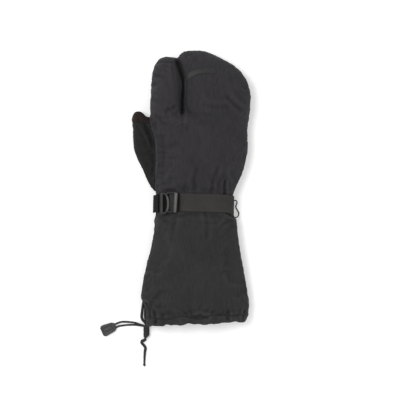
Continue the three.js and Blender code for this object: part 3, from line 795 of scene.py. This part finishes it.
# Each panel's name, the node that it stands for, its material and its slot
PANELS = (
    ("back_panel", "hand_back", SHELL_CLOTH, "shell_cloth"),
    ("palm_panel", "hand_palm", PALM_CLOTH, "palm_cloth"),
    ("thumb_panel", "thumb_stall", THUMB_CLOTH, "thumb_cloth"),
    ("thumb_leather", "thumb_patch", PATCH_LEATHER, "patch_leather"),
    ("gauntlet_upper", "gauntlet_back", GAUNTLET_CLOTH, "shell_cloth"),
    ("gauntlet_under", "gauntlet_palm", GAUNTLET_CLOTH, "shell_cloth"),
    ("hem_channel", "hem_band", GAUNTLET_CLOTH, "shell_cloth"),
)
SHELL_NODES = [row[1] for row in PANELS]
PLUG = len(PANELS)


def hem_plug():
    """A plug in the hem's mouth, so that the hollow mitt has one outer skin. It's cut away again."""
    points = points_of(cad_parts["hem_band"].data)
    low, high = points.min(0), points.max(0)
    middle = (low + high) / 2
    points = middle + (points - middle) * PLUG_INSET
    points[:, 1] += PLUG_SHIFT
    mesh = mesh_of("plug", points, [])
    work = bmesh.new()
    work.from_mesh(mesh)
    hull = bmesh.ops.convex_hull(work, input=work.verts)
    spare = [part for part in hull["geom_interior"] if isinstance(part, bmesh.types.BMVert)]
    bmesh.ops.delete(work, geom=spare, context="VERTS")
    work.to_mesh(mesh)
    work.free()
    return mesh


def joined_polygons(meshes):
    """Points and faces of several meshes together, and the number of the mesh that each face is from."""
    points, faces, owners = [], [], []
    for number, mesh in enumerate(meshes):
        start = len(points)
        points += [tuple(v.co) for v in mesh.vertices]
        faces += [[start + i for i in face.vertices] for face in mesh.polygons]
        owners += [number] * len(mesh.polygons)
    return points, faces, owners


def outer_skin():
    """One mesh over the whole mitt, with the node that each face belongs to as its material number."""
    meshes = [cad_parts[name].data for name in SHELL_NODES] + [hem_plug(), slit_web()]
    points, faces, owners = joined_polygons(meshes)
    skin = linked("skin", mesh_of("skin", points, faces))
    remesh = skin.modifiers.new("remesh", "REMESH")
    remesh.mode = "VOXEL"
    remesh.voxel_size = VOXEL
    apply_modifiers(skin)
    mesh = skin.data
    mesh.materials.clear()
    for _ in range(PLUG + 1):
        mesh.materials.append(None)
    named = [face for face, owner in zip(faces, owners) if owner <= PLUG]
    tree = BVHTree.FromPolygons(points, named)
    nearest = [tree.find_nearest(face.center)[2] for face in mesh.polygons]
    mesh.polygons.foreach_set("material_index", [owners[i] for i in nearest])
    widen_thumb(mesh)
    edges = edges_of(mesh)
    flat = points_of(mesh)
    smooth = relaxed(flat, edges, SMOOTHING)
    put_points(mesh, smooth)
    normals = normals_of(mesh)
    lost = ((flat - smooth) * normals).sum(1)
    lost = relaxed(lost[:, None], edges, 12)
    put_points(mesh, smooth + normals * np.clip(lost, *FORM_GIVEN_BACK))
    return skin


def widen_thumb(mesh):
    """The thumb's cloth runs on up the side of the hand to its seam."""
    seam_y, seam_x = np.array(THUMB_SEAM, float).T * MM
    for face in mesh.polygons:
        x, y, _ = face.center
        on_hand = face.material_index == SHELL_NODES.index("hand_back")
        if on_hand and seam_y[0] < y < seam_y[-1] and x < np.interp(y, seam_y, seam_x):
            face.material_index = SHELL_NODES.index("thumb_stall")


def slit_web():
    """Fills the slit at half its height, where the two stalls touch along it."""
    points = []
    for y, x in SLIT_LINE:
        if WEB_ALONG[0] <= y <= WEB_ALONG[1]:
            for across, up in ((-1, 0), (1, 0), (1, 1), (-1, 1)):
                points.append(((x + across * WEB_HALF) * MM, y * MM, WEB_HEIGHTS[up]))
    rings = len(points) // 4
    return mesh_of("web", points, ring_faces(rings, 4) + end_faces(rings, 4))


def slit_x(y):
    """Where the slit's middle line is across the mitt, at each place along it."""
    line_y, line_x = np.array(SLIT_LINE, float).T * MM
    return np.interp(y, line_y, line_x)


def part_stalls(skin, rest):
    """Keeps the walls on the two sides of the slit from passing through each other."""
    mesh = skin.data
    points = points_of(mesh)
    middle = slit_x(points[:, 1])
    away = rest[:, 0] - middle
    side = np.where(away < 0, -1.0, 1.0)
    facing = -side * normals_of(mesh)[:, 0] > 0.4
    near = facing & (points[:, 1] > STALLS_FROM) & (np.abs(away) < STALL_REACH)
    kept = middle + side * np.maximum(side * (points[:, 0] - middle), STALL_GAP)
    points[:, 0] = np.where(near, kept, points[:, 0])
    put_points(mesh, points)


def labels_of(mesh):
    return values_of(mesh.polygons, "material_index", kind=int)


def faces_beside(mesh):
    """The two faces beside each edge of a closed mesh."""
    edge_of_corner = values_of(mesh.loops, "edge_index", kind=int)
    sizes = values_of(mesh.polygons, "loop_total", kind=int)
    owner = np.repeat(np.arange(len(sizes)), sizes)
    return owner[np.argsort(edge_of_corner, kind="stable")].reshape(-1, 2)


def borders(mesh):
    """Edges between two panels, as a dictionary from the pair of panels to its edges."""
    pairs = np.sort(labels_of(mesh)[faces_beside(mesh)], axis=1)
    edges = edges_of(mesh)
    found = {}
    for i in np.nonzero(pairs[:, 0] != pairs[:, 1])[0]:
        found.setdefault(tuple(pairs[i].tolist()), []).append(tuple(edges[i].tolist()))
    return found


def border_edges(mesh):
    return np.array([edge for edges in borders(mesh).values() for edge in edges])


def border_distance(points, edges):
    """How far each point is from the nearest end of these edges."""
    used = np.unique(edges)
    tree = KDTree(len(used))
    for i in used.tolist():
        tree.insert(points[i], i)
    tree.balance()
    return np.array([tree.find(p)[2] for p in points])


def chained(edges):
    """Edges as ordered runs of vertices."""
    beside = {}
    for a, b in edges:
        beside.setdefault(a, []).append(b)
        beside.setdefault(b, []).append(a)
    left = {tuple(sorted(edge)) for edge in edges}
    starts = sorted(beside, key=lambda v: (len(beside[v]) == 2, v))
    runs = []
    for start in starts:
        for following in sorted(beside[start]):
            key = tuple(sorted((start, following)))
            if key not in left:
                continue
            run = [start, following]
            left.discard(key)
            while len(beside[run[-1]]) == 2:
                ahead = [v for v in beside[run[-1]] if tuple(sorted((run[-1], v))) in left]
                if not ahead:
                    break
                left.discard(tuple(sorted((run[-1], ahead[0]))))
                run.append(ahead[0])
            runs.append(run)
    return runs


def tidy_labels(mesh, rounds=6):
    """Turns stray faces over to the panel that is round them, so that each panel is in one piece."""
    beside = faces_beside(mesh)
    neighbours = [[] for _ in range(len(mesh.polygons))]
    for a, b in beside.tolist():
        neighbours[a].append(b)
        neighbours[b].append(a)
    labels = labels_of(mesh)
    for _ in range(rounds):
        votes = np.zeros((len(labels), PLUG + 1))
        np.add.at(votes, (beside[:, 0], labels[beside[:, 1]]), 1)
        np.add.at(votes, (beside[:, 1], labels[beside[:, 0]]), 1)
        labels = np.where(votes.max(1) >= 3, votes.argmax(1), labels)
    seen = np.zeros(len(labels), bool)
    patches = {}
    for start in range(len(labels)):
        if seen[start]:
            continue
        seen[start] = True
        patch = [start]
        for face in patch:
            for other in neighbours[face]:
                if not seen[other] and labels[other] == labels[start]:
                    seen[other] = True
                    patch.append(other)
        patches.setdefault(int(labels[start]), []).append(patch)
    for label, found in patches.items():
        for patch in sorted(found, key=len)[:-1]:
            around = [labels[other] for face in patch for other in neighbours[face]]
            labels[patch] = np.bincount([other for other in around if other != label]).argmax()
    mesh.polygons.foreach_set("material_index", labels)


def smooth_borders(mesh, rounds=60):
    """Straightens the stepped lines between the panels, along the cloth's surface."""
    points = points_of(mesh)
    surface = surface_of(mesh)
    every = edges_of(mesh)
    edges = border_edges(mesh)
    count = np.bincount(edges.ravel(), minlength=len(points))
    on_line = (count == 2).astype(float)
    near = border_distance(points, edges) < 4 * VOXEL
    beside_line = (near & (count == 0)).astype(float)
    for i in range(rounds):
        points = relaxed(points, edges, 1, on_line)
        points = relaxed(points, every, 1, beside_line)
        if i % 5 == 4:
            for vertex in np.nonzero(near)[0]:
                points[vertex] = surface.find_nearest(points[vertex])[0]
    put_points(mesh, points)
    return points


def simulated(skin, pinned):
    """The cloth swells against its seams and wrinkles a little, as insulated cloth does."""
    mesh = skin.data
    rest = points_of(mesh)
    held = skin.vertex_groups.new(name="held")
    loose = skin.vertex_groups.new(name="loose")
    share = np.clip(0.5 + 0.5 * waves(rest, 45 * MM, 3), 0, 1)
    for i, weight in enumerate(pinned):
        if weight > 0.01:
            held.add([i], float(weight), "REPLACE")
        loose.add([i], float(share[i]), "REPLACE")
    cloth = skin.modifiers.new("cloth", "CLOTH")
    settings = cloth.settings
    settings.quality = 5
    settings.mass = 0.12
    settings.tension_stiffness = 12
    settings.compression_stiffness = 12
    settings.shear_stiffness = 3
    settings.bending_stiffness = 0.08
    settings.use_pressure = True
    settings.uniform_pressure_force = 0.7
    settings.vertex_group_mass = "held"
    settings.vertex_group_shrink = "loose"
    settings.shrink_min = -0.015
    settings.shrink_max = -0.05
    settings.effector_weights.gravity = 0
    cloth.collision_settings.use_collision = False
    cloth.point_cache.frame_start = 1
    cloth.point_cache.frame_end = SIM_FRAMES
    scene = bpy.context.scene
    for moment in range(1, SIM_FRAMES + 1):
        scene.frame_set(moment)
    moved = points_of(evaluated(skin)) - rest
    skin.modifiers.clear()
    skin.vertex_groups.clear()
    scene.frame_set(1)
    far = np.linalg.norm(moved, axis=1)
    moved *= (SIM_LIMIT * np.tanh(far / SIM_LIMIT) / np.maximum(far, 1e-9))[:, None]
    put_points(mesh, rest + moved)


def line_distance(points, line):
    """How far each point is to the left of a line on the mitt's back, and how far it is past the line's
    ends, both in metres."""
    line = np.array(line, float) * MM
    best = np.full(len(points), 1.0)
    side = np.zeros(len(points))
    beyond = np.zeros(len(points))
    for a, b in zip(line, line[1:]):
        along = b - a
        length = np.linalg.norm(along)
        along = along / length
        away = points[:, :2] - a
        run = away @ along
        held = np.clip(run, 0, length)
        distance = np.linalg.norm(away - held[:, None] * along, axis=1)
        nearer = distance < best
        side = np.where(nearer, along[0] * away[:, 1] - along[1] * away[:, 0], side)
        beyond = np.where(nearer, np.abs(run - held), beyond)
        best = np.where(nearer, distance, best)
    return side, beyond


def creased(points, normals):
    """How far the photo's creases move each point along its normal."""
    total = np.zeros(len(points))
    top = np.clip(normals[:, 2] * 2.2, 0, 1)
    for line, depth, breadth, ridge in CREASES:
        breadth = breadth * MM
        across, beyond = line_distance(points, line)
        across = across * ridge
        sunk = faded(across, breadth) - 0.5 * faded(across - 2 * breadth, 1.1 * breadth)
        total -= depth * MM * sunk * faded(beyond, 1.5 * breadth) * top
    return total


def slit_share(points):
    """How far each point is into the slit between the stalls, from 0 to 1."""
    x, y = points[:, 0], points[:, 1]
    along = risen(y, SLIT_START, 0.9 * MM) * (1 - risen(y, SLIT_END, 1.3 * MM))
    blunt = SLIT_BLUNT * faded(y - SLIT_START - 3 * MM, 4 * MM)
    mouth = SLIT_MOUTH * np.clip((y - 146 * MM) / (20 * MM), 0, 1)
    return along * faded(x - slit_x(y) + 0.5 * mouth, SLIT_BREADTH + blunt + mouth)


def slit_valley(points):
    """Sinks the web between the stalls into a narrow valley on both sides of the mitt."""
    sunk = slit_share(points)
    upper = np.clip((points[:, 2] - WEB_HEIGHTS[0]) / np.ptp(WEB_HEIGHTS), 0, 1)
    points = points.copy()
    points[:, 2] += (0.2 - 1.2 * upper) * SLIT_DEPTH * sunk
    return points


def gathered(points, around, from_wrist, from_hem):
    """How far the gathers at the strap and at the hem move each point along its normal."""
    apart = np.where(from_wrist > 0, 1.0, 5.0)[:, None] * np.array([[0, 0, 1.0]])
    from_strap = np.abs(from_wrist) - STRAP_WIDTH / 2
    at_strap = waves(around + apart, 0.42, 11) * waned(from_strap, 9 * MM)
    at_strap *= risen(from_strap, 1.5 * MM, 0.8 * MM)
    fuller = 0.8 + 0.6 * faded(points[:, 0] + 55 * MM, 22 * MM)
    at_hem = fuller * waves(around, 0.34, 21) * waned(from_hem, 17 * MM)
    return 1.5 * MM * at_strap + 1.25 * MM * at_hem


def wrinkled(points, from_strap):
    """Broad, middle and fine wrinkles, with none under the strap."""
    height = 0.6 * waves(points, 46 * MM, 31)
    height += 0.16 * waves(points * np.array([1, 0.7, 1]), 15 * MM, 32)
    height += 0.04 * waves(points, 5.5 * MM, 33)
    return height * MM * np.clip(from_strap / (12 * MM), 0, 1)


def seamed(points, near, from_hem):
    """The groove of the seams, the cloth that stands up beside it, and its pucker."""
    firm = 1 - 0.65 * faded(from_hem - HEM_CHANNEL, 9 * MM)
    groove = -0.85 * faded(near, 1.1 * MM) + 0.35 * faded(near - 2.8 * MM, 1.6 * MM)
    pucker = 0.35 * waves(points, 8 * MM, 41) * faded(near - 3 * MM, 3 * MM)
    return (groove * firm + pucker) * MM


def hemmed(points, around, from_hem):
    """The points with a scalloped hem, a wavy channel seam, and the hem's two ends hanging lower."""
    points = points.copy()
    scallop = waves(around, 0.5, 51) + 0.6 * waves(around, 0.24, 53)
    points[:, 1] += 1.3 * MM * scallop * waned(from_hem, 5 * MM)
    points[:, 1] += 1.9 * MM * waves(around, 0.4, 52) * faded(from_hem - HEM_CHANNEL, 7 * MM)
    lower = 2.6 * faded(points[:, 0] + 50 * MM, 55 * MM) + 3 * faded(points[:, 0] - 70 * MM, 9 * MM)
    points[:, 1] -= lower * MM * waned(from_hem, 10 * MM)
    return points


def dressed(skin):
    """Folds, gathers, seams and wrinkles on the subdivided skin."""
    subdivide = skin.modifiers.new("subdivide", "SUBSURF")
    subdivide.levels = subdivide.render_levels = 1
    apply_modifiers(skin)
    mesh = skin.data
    points = points_of(mesh)
    normals = normals_of(mesh)
    from_wrist = points[:, 1] - wrist_y() - np.tan(strap_turn()) * points[:, 0]
    from_strap = np.abs(from_wrist) - STRAP_WIDTH / 2
    from_hem = points[:, 1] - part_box("hem_band")[0].y
    angle = np.arctan2((points[:, 2] - SEAM_HEIGHT) * 2.6, points[:, 0])
    around = np.stack([np.cos(angle), np.sin(angle), 0 * angle], 1)
    move = gathered(points, around, from_wrist, from_hem) + creased(points, normals)
    points = slit_valley(points)
    seams = border_edges(mesh)
    near = border_distance(points, seams)
    move += wrinkled(points, from_strap) + seamed(points, near, from_hem)
    points = hemmed(points + normals * move[:, None], around, from_hem)
    count = np.bincount(seams.ravel(), minlength=len(points))
    points = relaxed(points, seams, 12, (count == 2).astype(float))
    beside_seam = (near < 3.5 * MM) & (count == 0)
    points = relaxed(points, edges_of(mesh), 3, beside_seam.astype(float))
    points[:, 2] = np.maximum(points[:, 2], 0.15 * MM)
    put_points(mesh, points)
    wear_and_painted_shade(mesh)


def wear_and_painted_shade(mesh):
    """Stores how much each place stands up from what is round it, from -1 to 1, and less in the slit. The
    cloth is paler on its worn ridges and darker with painted shade in its hollows and in the slit.
    """
    points = points_of(mesh)
    edges = edges_of(mesh)
    broad = relaxed(points, edges, 12)
    proud = ((points - broad) * normals_of(mesh)).sum(1)
    # The slit between the stalls is darkened with painted shade
    put_values(mesh, "ridge", np.clip(proud / RIDGE, -1, 1) - 2.5 * slit_share(points))


def panel(skin, name, number):
    """The faces of one panel of the skin, as an object of their own."""
    source = skin.data
    used = {}
    faces = []
    for face in source.polygons:
        if face.material_index == number:
            faces.append([used.setdefault(v, len(used)) for v in face.vertices])
    order = np.array(list(used))
    mesh = mesh_of(name, points_of(source)[order], faces)
    ridge = values_of(source.attributes["ridge"].data, "value", kind=np.float32)
    put_values(mesh, "ridge", ridge[order])
    return linked(name, mesh)


def flat_pattern(made):
    """Unwraps a panel and turns its map so that v runs along the mitt, in metres."""
    mesh = made.data
    mesh.uv_layers.new(name="Pattern")
    bpy.context.view_layer.objects.active = made
    made.select_set(True)
    bpy.ops.object.mode_set(mode="EDIT")
    bpy.ops.mesh.select_all(action="SELECT")
    bpy.ops.uv.unwrap(method="CONFORMAL", margin=0)
    bpy.ops.object.mode_set(mode="OBJECT")
    made.select_set(False)
    layer = mesh.uv_layers["Pattern"]
    flat = values_of(layer.uv, "vector", 2, np.float32).astype(float)
    target = points_of(mesh)[values_of(mesh.loops, "vertex_index", kind=int)][:, :2]
    flat -= flat.mean(0)
    left, _, right = np.linalg.svd(flat.T @ (target - target.mean(0)))
    turned = flat @ left @ right
    starts = values_of(mesh.polygons, "loop_start", kind=int)
    p, q, r = (turned[starts + i] for i in range(3))
    mapped = np.abs((q - p)[:, 0] * (r - p)[:, 1] - (q - p)[:, 1] * (r - p)[:, 0])
    areas = values_of(mesh.polygons, "area")
    turned *= math.sqrt(np.median(areas / np.maximum(mapped, 1e-12)))
    layer.uv.foreach_set("vector", turned.astype(np.float32).ravel())


def lined(made):
    """Gives a panel its thickness, inwards, pressed thin along its seams."""
    mesh = made.data
    faces_at = np.bincount(values_of(mesh.loops, "edge_index", kind=int), minlength=len(mesh.edges))
    rim = edges_of(mesh)[faces_at == 1]
    group = made.vertex_groups.new(name="wall")
    for i, away in enumerate(border_distance(points_of(mesh), rim).tolist()):
        group.add([i], min(1.0, away / SEAM_MARGIN), "REPLACE")
    solidify = made.modifiers.new("wall", "SOLIDIFY")
    solidify.thickness = CLOTH_WALL
    solidify.offset = -1
    solidify.vertex_group = "wall"
    solidify.thickness_vertex_group = SEAM_WALL_SHARE
    apply_modifiers(made)
    made.vertex_groups.clear()


# Stitches: the places of a stitch's rings along it, and their fullness

STITCH_RINGS = ((-0.5, 0.45), (-0.38, 0.95), (0, 1.05), (0.38, 0.95), (0.5, 0.45))
STITCH_SIDES = 6
STITCHED_SEAMS = {
    "hem_stitches": (("gauntlet_back", "hem_band", (1.6,)), ("gauntlet_palm", "hem_band", (1.6,))),
    "side_stitches": (("hand_back", "hand_palm", (2.4,)), ("gauntlet_back", "gauntlet_palm", (2.4,))),
    "thumb_stitches": (
        ("hand_back", "thumb_stall", (2.2,)),
        ("hand_palm", "thumb_stall", (2.2,)),
        ("thumb_patch", "thumb_stall", (1.8, -1.8)),
    ),
}


def stitch_rows(name, rows, surface, thread=THREAD, length=2.4 * MM, gap=1.1 * MM, width=0.55 * MM):
    """Rows of stitches laid on the cloth, as one mesh."""
    points, faces = [], []
    for row in rows:
        path = resampled(np.array(row), (length + gap) / 2)
        for i in range(1, len(path) - 1, 2):
            along = path[i + 1] - path[i - 1]
            along = along / np.linalg.norm(along)
            place, out, _, _ = surface.find_nearest(path[i])
            out = np.array(out)
            out = out - (out @ along) * along
            out /= np.linalg.norm(out)
            across = np.cross(along, out)
            start = len(points)
            for share, full in STITCH_RINGS:
                middle = np.array(place) + along * share * length + out * width * 0.16 * full
                for side in range(STITCH_SIDES):
                    angle = 2 * math.pi * side / STITCH_SIDES
                    reach = across * math.cos(angle) * 0.62 + out * math.sin(angle) * 0.5
                    points.append(middle + reach * width * full)
            faces += ring_faces(len(STITCH_RINGS), STITCH_SIDES, start)
            faces += end_faces(len(STITCH_RINGS), STITCH_SIDES, start)
    made = linked(name, mesh_of(name, points, faces))
    finished(made, thread, "cord_braid")


def beside(path, surface, offset):
    """A line beside another one on the cloth, at this distance to its left seen from outside."""
    line = []
    for place, along in zip(path, tangents_of(path)):
        out = np.array(surface.find_nearest(place)[1])
        moved = place + np.cross(out, along) * offset
        line.append(np.array(surface.find_nearest(moved)[0]))
    return relaxed_line(np.array(line), 6)


# Webbing

def wrist_y():
    low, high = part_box("wrist_strap")
    return (low.y + high.y) / 2


def strap_turn():
    low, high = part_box("wrist_strap")
    return -math.atan2(STRAP_DROP, high.x - low.x)


def wrap_ring(name, rays=720):
    """The outer surface of a strap round the wrist, as a ring of points in X and Z."""
    surface = surface_of(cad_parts[name].data)
    low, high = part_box("wrist_strap")
    centre = (low + high) / 2
    ring = []
    for i in range(rays):
        angle = 2 * math.pi * i / rays
        out = Vector((math.cos(angle), 0, math.sin(angle)))
        hit = surface.ray_cast(centre + out * 0.2, -out)[0]
        if hit is not None:
            ring.append((hit.x, hit.z))
    return np.array(ring)


def smooth_ring(ring, rounds=10):
    for _ in range(rounds):
        ring = 0.5 * ring + 0.25 * (np.roll(ring, 1, 0) + np.roll(ring, -1, 0))
    return ring


def ring_normals(ring, closed):
    along = np.roll(ring, -1, 0) - np.roll(ring, 1, 0) if closed else np.gradient(ring, axis=0)
    along /= np.linalg.norm(along, axis=1)[:, None]
    return np.stack([along[:, 1], -along[:, 0]], 1)


def strap_profile(width):
    """Places across the strap with the outer height there: ribbed selvedges beside a plain field."""
    across = np.linspace(-width / 2, width / 2, PROFILE_POINTS)
    edge = width / 2 - np.abs(across)
    height = np.full(len(across), WEBBING)
    height += 0.16 * MM * np.cos(2 * math.pi * edge / RIB_PITCH) * (edge < SELVEDGE)
    height -= 0.5 * MM * np.exp(-edge / (0.35 * MM))
    return across, height


def band(name, ring, width, closed, shade):
    """A strap of this width along a ring of points in X and Z, with its pattern map. shade gives the
    painted shade at each point."""
    turn = strap_turn()
    middle_y = wrist_y()
    across, height = strap_profile(width)
    profile = list(zip(across, height)) + [(v, 0.0) for v in across[::-4]]
    points = []
    for (x, z), (out_x, out_z) in zip(ring, ring_normals(ring, closed)):
        for v, h in profile:
            lift = h - WEBBING
            px, pz = x + out_x * lift, z + out_z * lift
            droop = STRAP_BEND * (abs(px - WRIST_MIDDLE) / WRIST_REACH) ** 5
            points.append((
                px * math.cos(turn) - v * math.sin(turn),
                middle_y + px * math.sin(turn) + v * math.cos(turn) - droop,
                pz,
            ))
    run = run_along(ring)
    faces = ring_faces(len(ring), len(profile), closed=closed)
    maps = []
    for start in run if closed else run[:-1]:
        end = start + run[1]
        for (v, _), (w, _) in zip(profile, profile[1:] + profile[:1]):
            maps += [(start, v), (start, w), (end, w), (end, v)]
    if not closed:
        faces += end_faces(len(ring), len(profile))
        maps += [(end, v) for end in run[[0, -1]] for v, _ in profile]
    mesh = mesh_of(name, points, faces)
    layer = mesh.uv_layers.new(name="Pattern")
    layer.uv.foreach_set("vector", np.array(maps, np.float32).ravel())
    put_values(mesh, "shade", shade(np.array(points)))
    return linked(name, mesh)


def even_ring(ring, count):
    closed = np.vstack([ring, ring[:1]])
    along = run_along(closed)
    places = np.linspace(0, along[-1], count, endpoint=False)
    return np.stack([np.interp(places, along, closed[:, axis]) for axis in range(2)], 1)


def make_strap():
    """The webbing, with painted shade under the buckle's tab and a painted shadow of the lip beside it,
    and a row of stitches along each edge.
    """
    ring = smooth_ring(even_ring(wrap_ring("wrist_strap"), 300))
    low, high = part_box("buckle")
    buckle_x = (low.x + high.x) / 2

    def shade(points):
        # Painted shade under the buckle's tab and a painted shadow of the lip beside it, on the upper side
        # only
        under_tab = points[:, 0] < buckle_x + 1.6 * MM
        beside_lip = faded(points[:, 0] - buckle_x - 14.2 * MM, 2.2 * MM)
        return np.where(points[:, 2] > SEAM_HEIGHT, np.maximum(under_tab, 0.8 * beside_lip), 0)

    made = band("wrist_webbing", ring, STRAP_WIDTH, True, shade)
    finished(made, STRAP_WEBBING, "webbing", "wrist_strap")
    grid = points_of(made.data).reshape(len(ring), -1, 3)
    rows = []
    for column in STITCHED_POINTS:
        row = [p for p in grid[:, column] if p[2] < SEAM_HEIGHT or p[0] > buckle_x + 15 * MM]
        cut = int(np.argmax(np.linalg.norm(np.diff(row, axis=0), axis=1))) + 1
        rows.append(row[cut:] + row[:cut])
    surface = surface_of(made.data)
    stitch_rows("strap_stitches", rows, surface, PALE_THREAD, 1.4 * MM, 1.5 * MM, 0.6 * MM)


def make_anchor():
    ring = wrap_ring("strap_anchor")
    ring = ring[np.argsort(np.arctan2(ring[:, 0] + 30 * MM, ring[:, 1] - SEAM_HEIGHT))]
    spaced = [ring[0]]
    for place in ring[1:]:
        if np.linalg.norm(place - spaced[-1]) > 0.5 * MM:
            spaced.append(place)
    ring = relaxed_line(np.array(spaced), 8)
    width = STRAP_WIDTH - 0.6 * MM
    # The anchor's webbing is darkened all over with painted shade
    made = band("anchor_webbing", ring, width, False, lambda points: np.full(len(points), 0.6))
    finished(made, STRAP_WEBBING, "webbing", "strap_anchor")


# Strip on the fingers

def make_strip(surface):
    """A raised strip that lies on the cloth, from inside the slit over the three-finger stall."""
    path = spline([(x * MM, y * MM, 0) for x, y in STRIP_LINE], STRIP_STEP)
    half = STRIP_WIDTH / 2
    shares = np.linspace(-1, 1, STRIP_POINTS)
    points = []
    for i, (place, along) in enumerate(zip(path, tangents_of(path))):
        across = np.array([-along[1], along[0], 0])
        ends = min(i, len(path) - 1 - i) * STRIP_STEP
        rounded = math.sqrt(max(0.08, 1 - (1 - min(1, ends / half)) ** 2))
        narrow = rounded if i > len(path) / 2 else 1
        for layer in (1, 0):
            for share in shares if layer else shares[::-1]:
                spot = place + across * share * half * narrow
                hit = surface.ray_cast(Vector((spot[0], spot[1], 0.2)), Vector((0, 0, -1)))[0]
                z = hit.z if hit is not None else 0.03
                crown = STRIP_THICKNESS * (1 - 0.75 * abs(share) ** 5)
                points.append((spot[0], spot[1], z + (crown if layer else -0.6 * MM)))
    size = 2 * STRIP_POINTS
    faces = ring_faces(len(path), size) + end_faces(len(path), size)
    made = linked("nose_strip", mesh_of("nose_strip", points, faces))
    # The strip's own tone, made paler towards its left end as a painted highlight
    put_values(made.data, "tone_and_highlight", 0.42 + 0.45 * faded(np.array(points)[:, 0] + 2 * MM, 9 * MM))
    finished(made, STRIP_RUBBER, "strip_rubber", "finger_strip")


def pinned_weights(mesh, points):
    """Where the cloth is held: under the strap, along the hem and the seams, and where it rests."""
    from_strap = np.abs(points[:, 1] - wrist_y()) - STRAP_WIDTH / 2
    above_hem = points[:, 1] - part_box("hem_band")[0].y - 12 * MM
    above_floor = points[:, 2] - 0.6 * MM
    held = 0.9 * faded(border_distance(points, border_edges(mesh)), 2.2 * MM)
    for distance, reach in ((from_strap, 3 * MM), (above_hem, 3 * MM), (above_floor, 0.8 * MM)):
        held = np.maximum(held, faded(np.clip(distance, 0, 1), reach))
    return held


def make_cloth():
    """The cloth panels and their stitches. Returns the surface of the whole skin."""
    skin = outer_skin()
    tidy_labels(skin.data)
    points = smooth_borders(skin.data)
    simulated(skin, pinned_weights(skin.data, points))
    part_stalls(skin, points)
    dressed(skin)
    surface = surface_of(skin.data)
    for number, (name, node_name, material, slot) in enumerate(PANELS):
        made = panel(skin, name, number)
        flat_pattern(made)
        lined(made)
        finished(made, material, slot, node_name)
        if name == "thumb_leather":
            bare_edge(made.data)
    make_stitches(skin.data, surface)
    bpy.data.objects.remove(skin)
    return surface


def bare_edge(mesh):
    """The leather is worn to its tan colour on the outer edge of the thumb's tip."""
    points = points_of(mesh)
    across = (points - points.min(0)) / np.maximum(points.max(0) - points.min(0), 1e-6)
    edge = np.clip(1 - across[:, 0] * 7, 0, 1) * np.clip(across[:, 1] * 3 - 0.6, 0, 1)
    spots = 0.75 + 0.35 * waves(points, 4 * MM, 61)
    put_values(mesh, "tone_and_highlight", np.clip(edge * spots, 0, 1))


def make_stitches(mesh, surface):
    points = points_of(mesh)
    found = borders(mesh)
    for name, seams in STITCHED_SEAMS.items():
        rows = []
        for first, second, offsets in seams:
            pair = tuple(sorted((SHELL_NODES.index(first), SHELL_NODES.index(second))))
            for run in chained(found.get(pair, [])):
                if len(run) >= 12:
                    path = resampled(points[run], 2.2 * MM)
                    rows += [beside(path, surface, offset * MM) for offset in offsets]
        stitch_rows(name, rows, surface)


def make_cords():
    lock = make_lock()
    puller = make_puller()
    knot = make_knot()
    free_cord(
        "drawcord_outer", "elastic_outer", OUTER_ELASTIC, 2.5 * MM,
        lead_in=(0.8, 2.2, 2.6), thick=1.45,
    )
    free_cord(
        "drawcord_inner", "elastic_inner", INNER_ELASTIC, 2.5 * MM,
        lead_in=(1.2, 3, 2.8), thick=1.45,
    )
    for name, node_name, route in (
        ("upper_strand", "pull_cord_upper", UPPER_PULL),
        ("lower_strand", "pull_cord_lower", LOWER_PULL),
    ):
        free_cord(name, node_name, route, 2.2 * MM, thick=1.2)
    free_cord(
        "release_cord", "release_tail", TAIL, 2.6 * MM, thick=1.58, taper=0.4,
    )
    free_cord("wrist_side_cord", "side_cord", SIDE_CORD, 1.4 * MM, thick=1.2)


studio()
make_cords()
surface = make_cloth()
make_strap()
make_anchor()
make_buckle()
make_strip(surface)
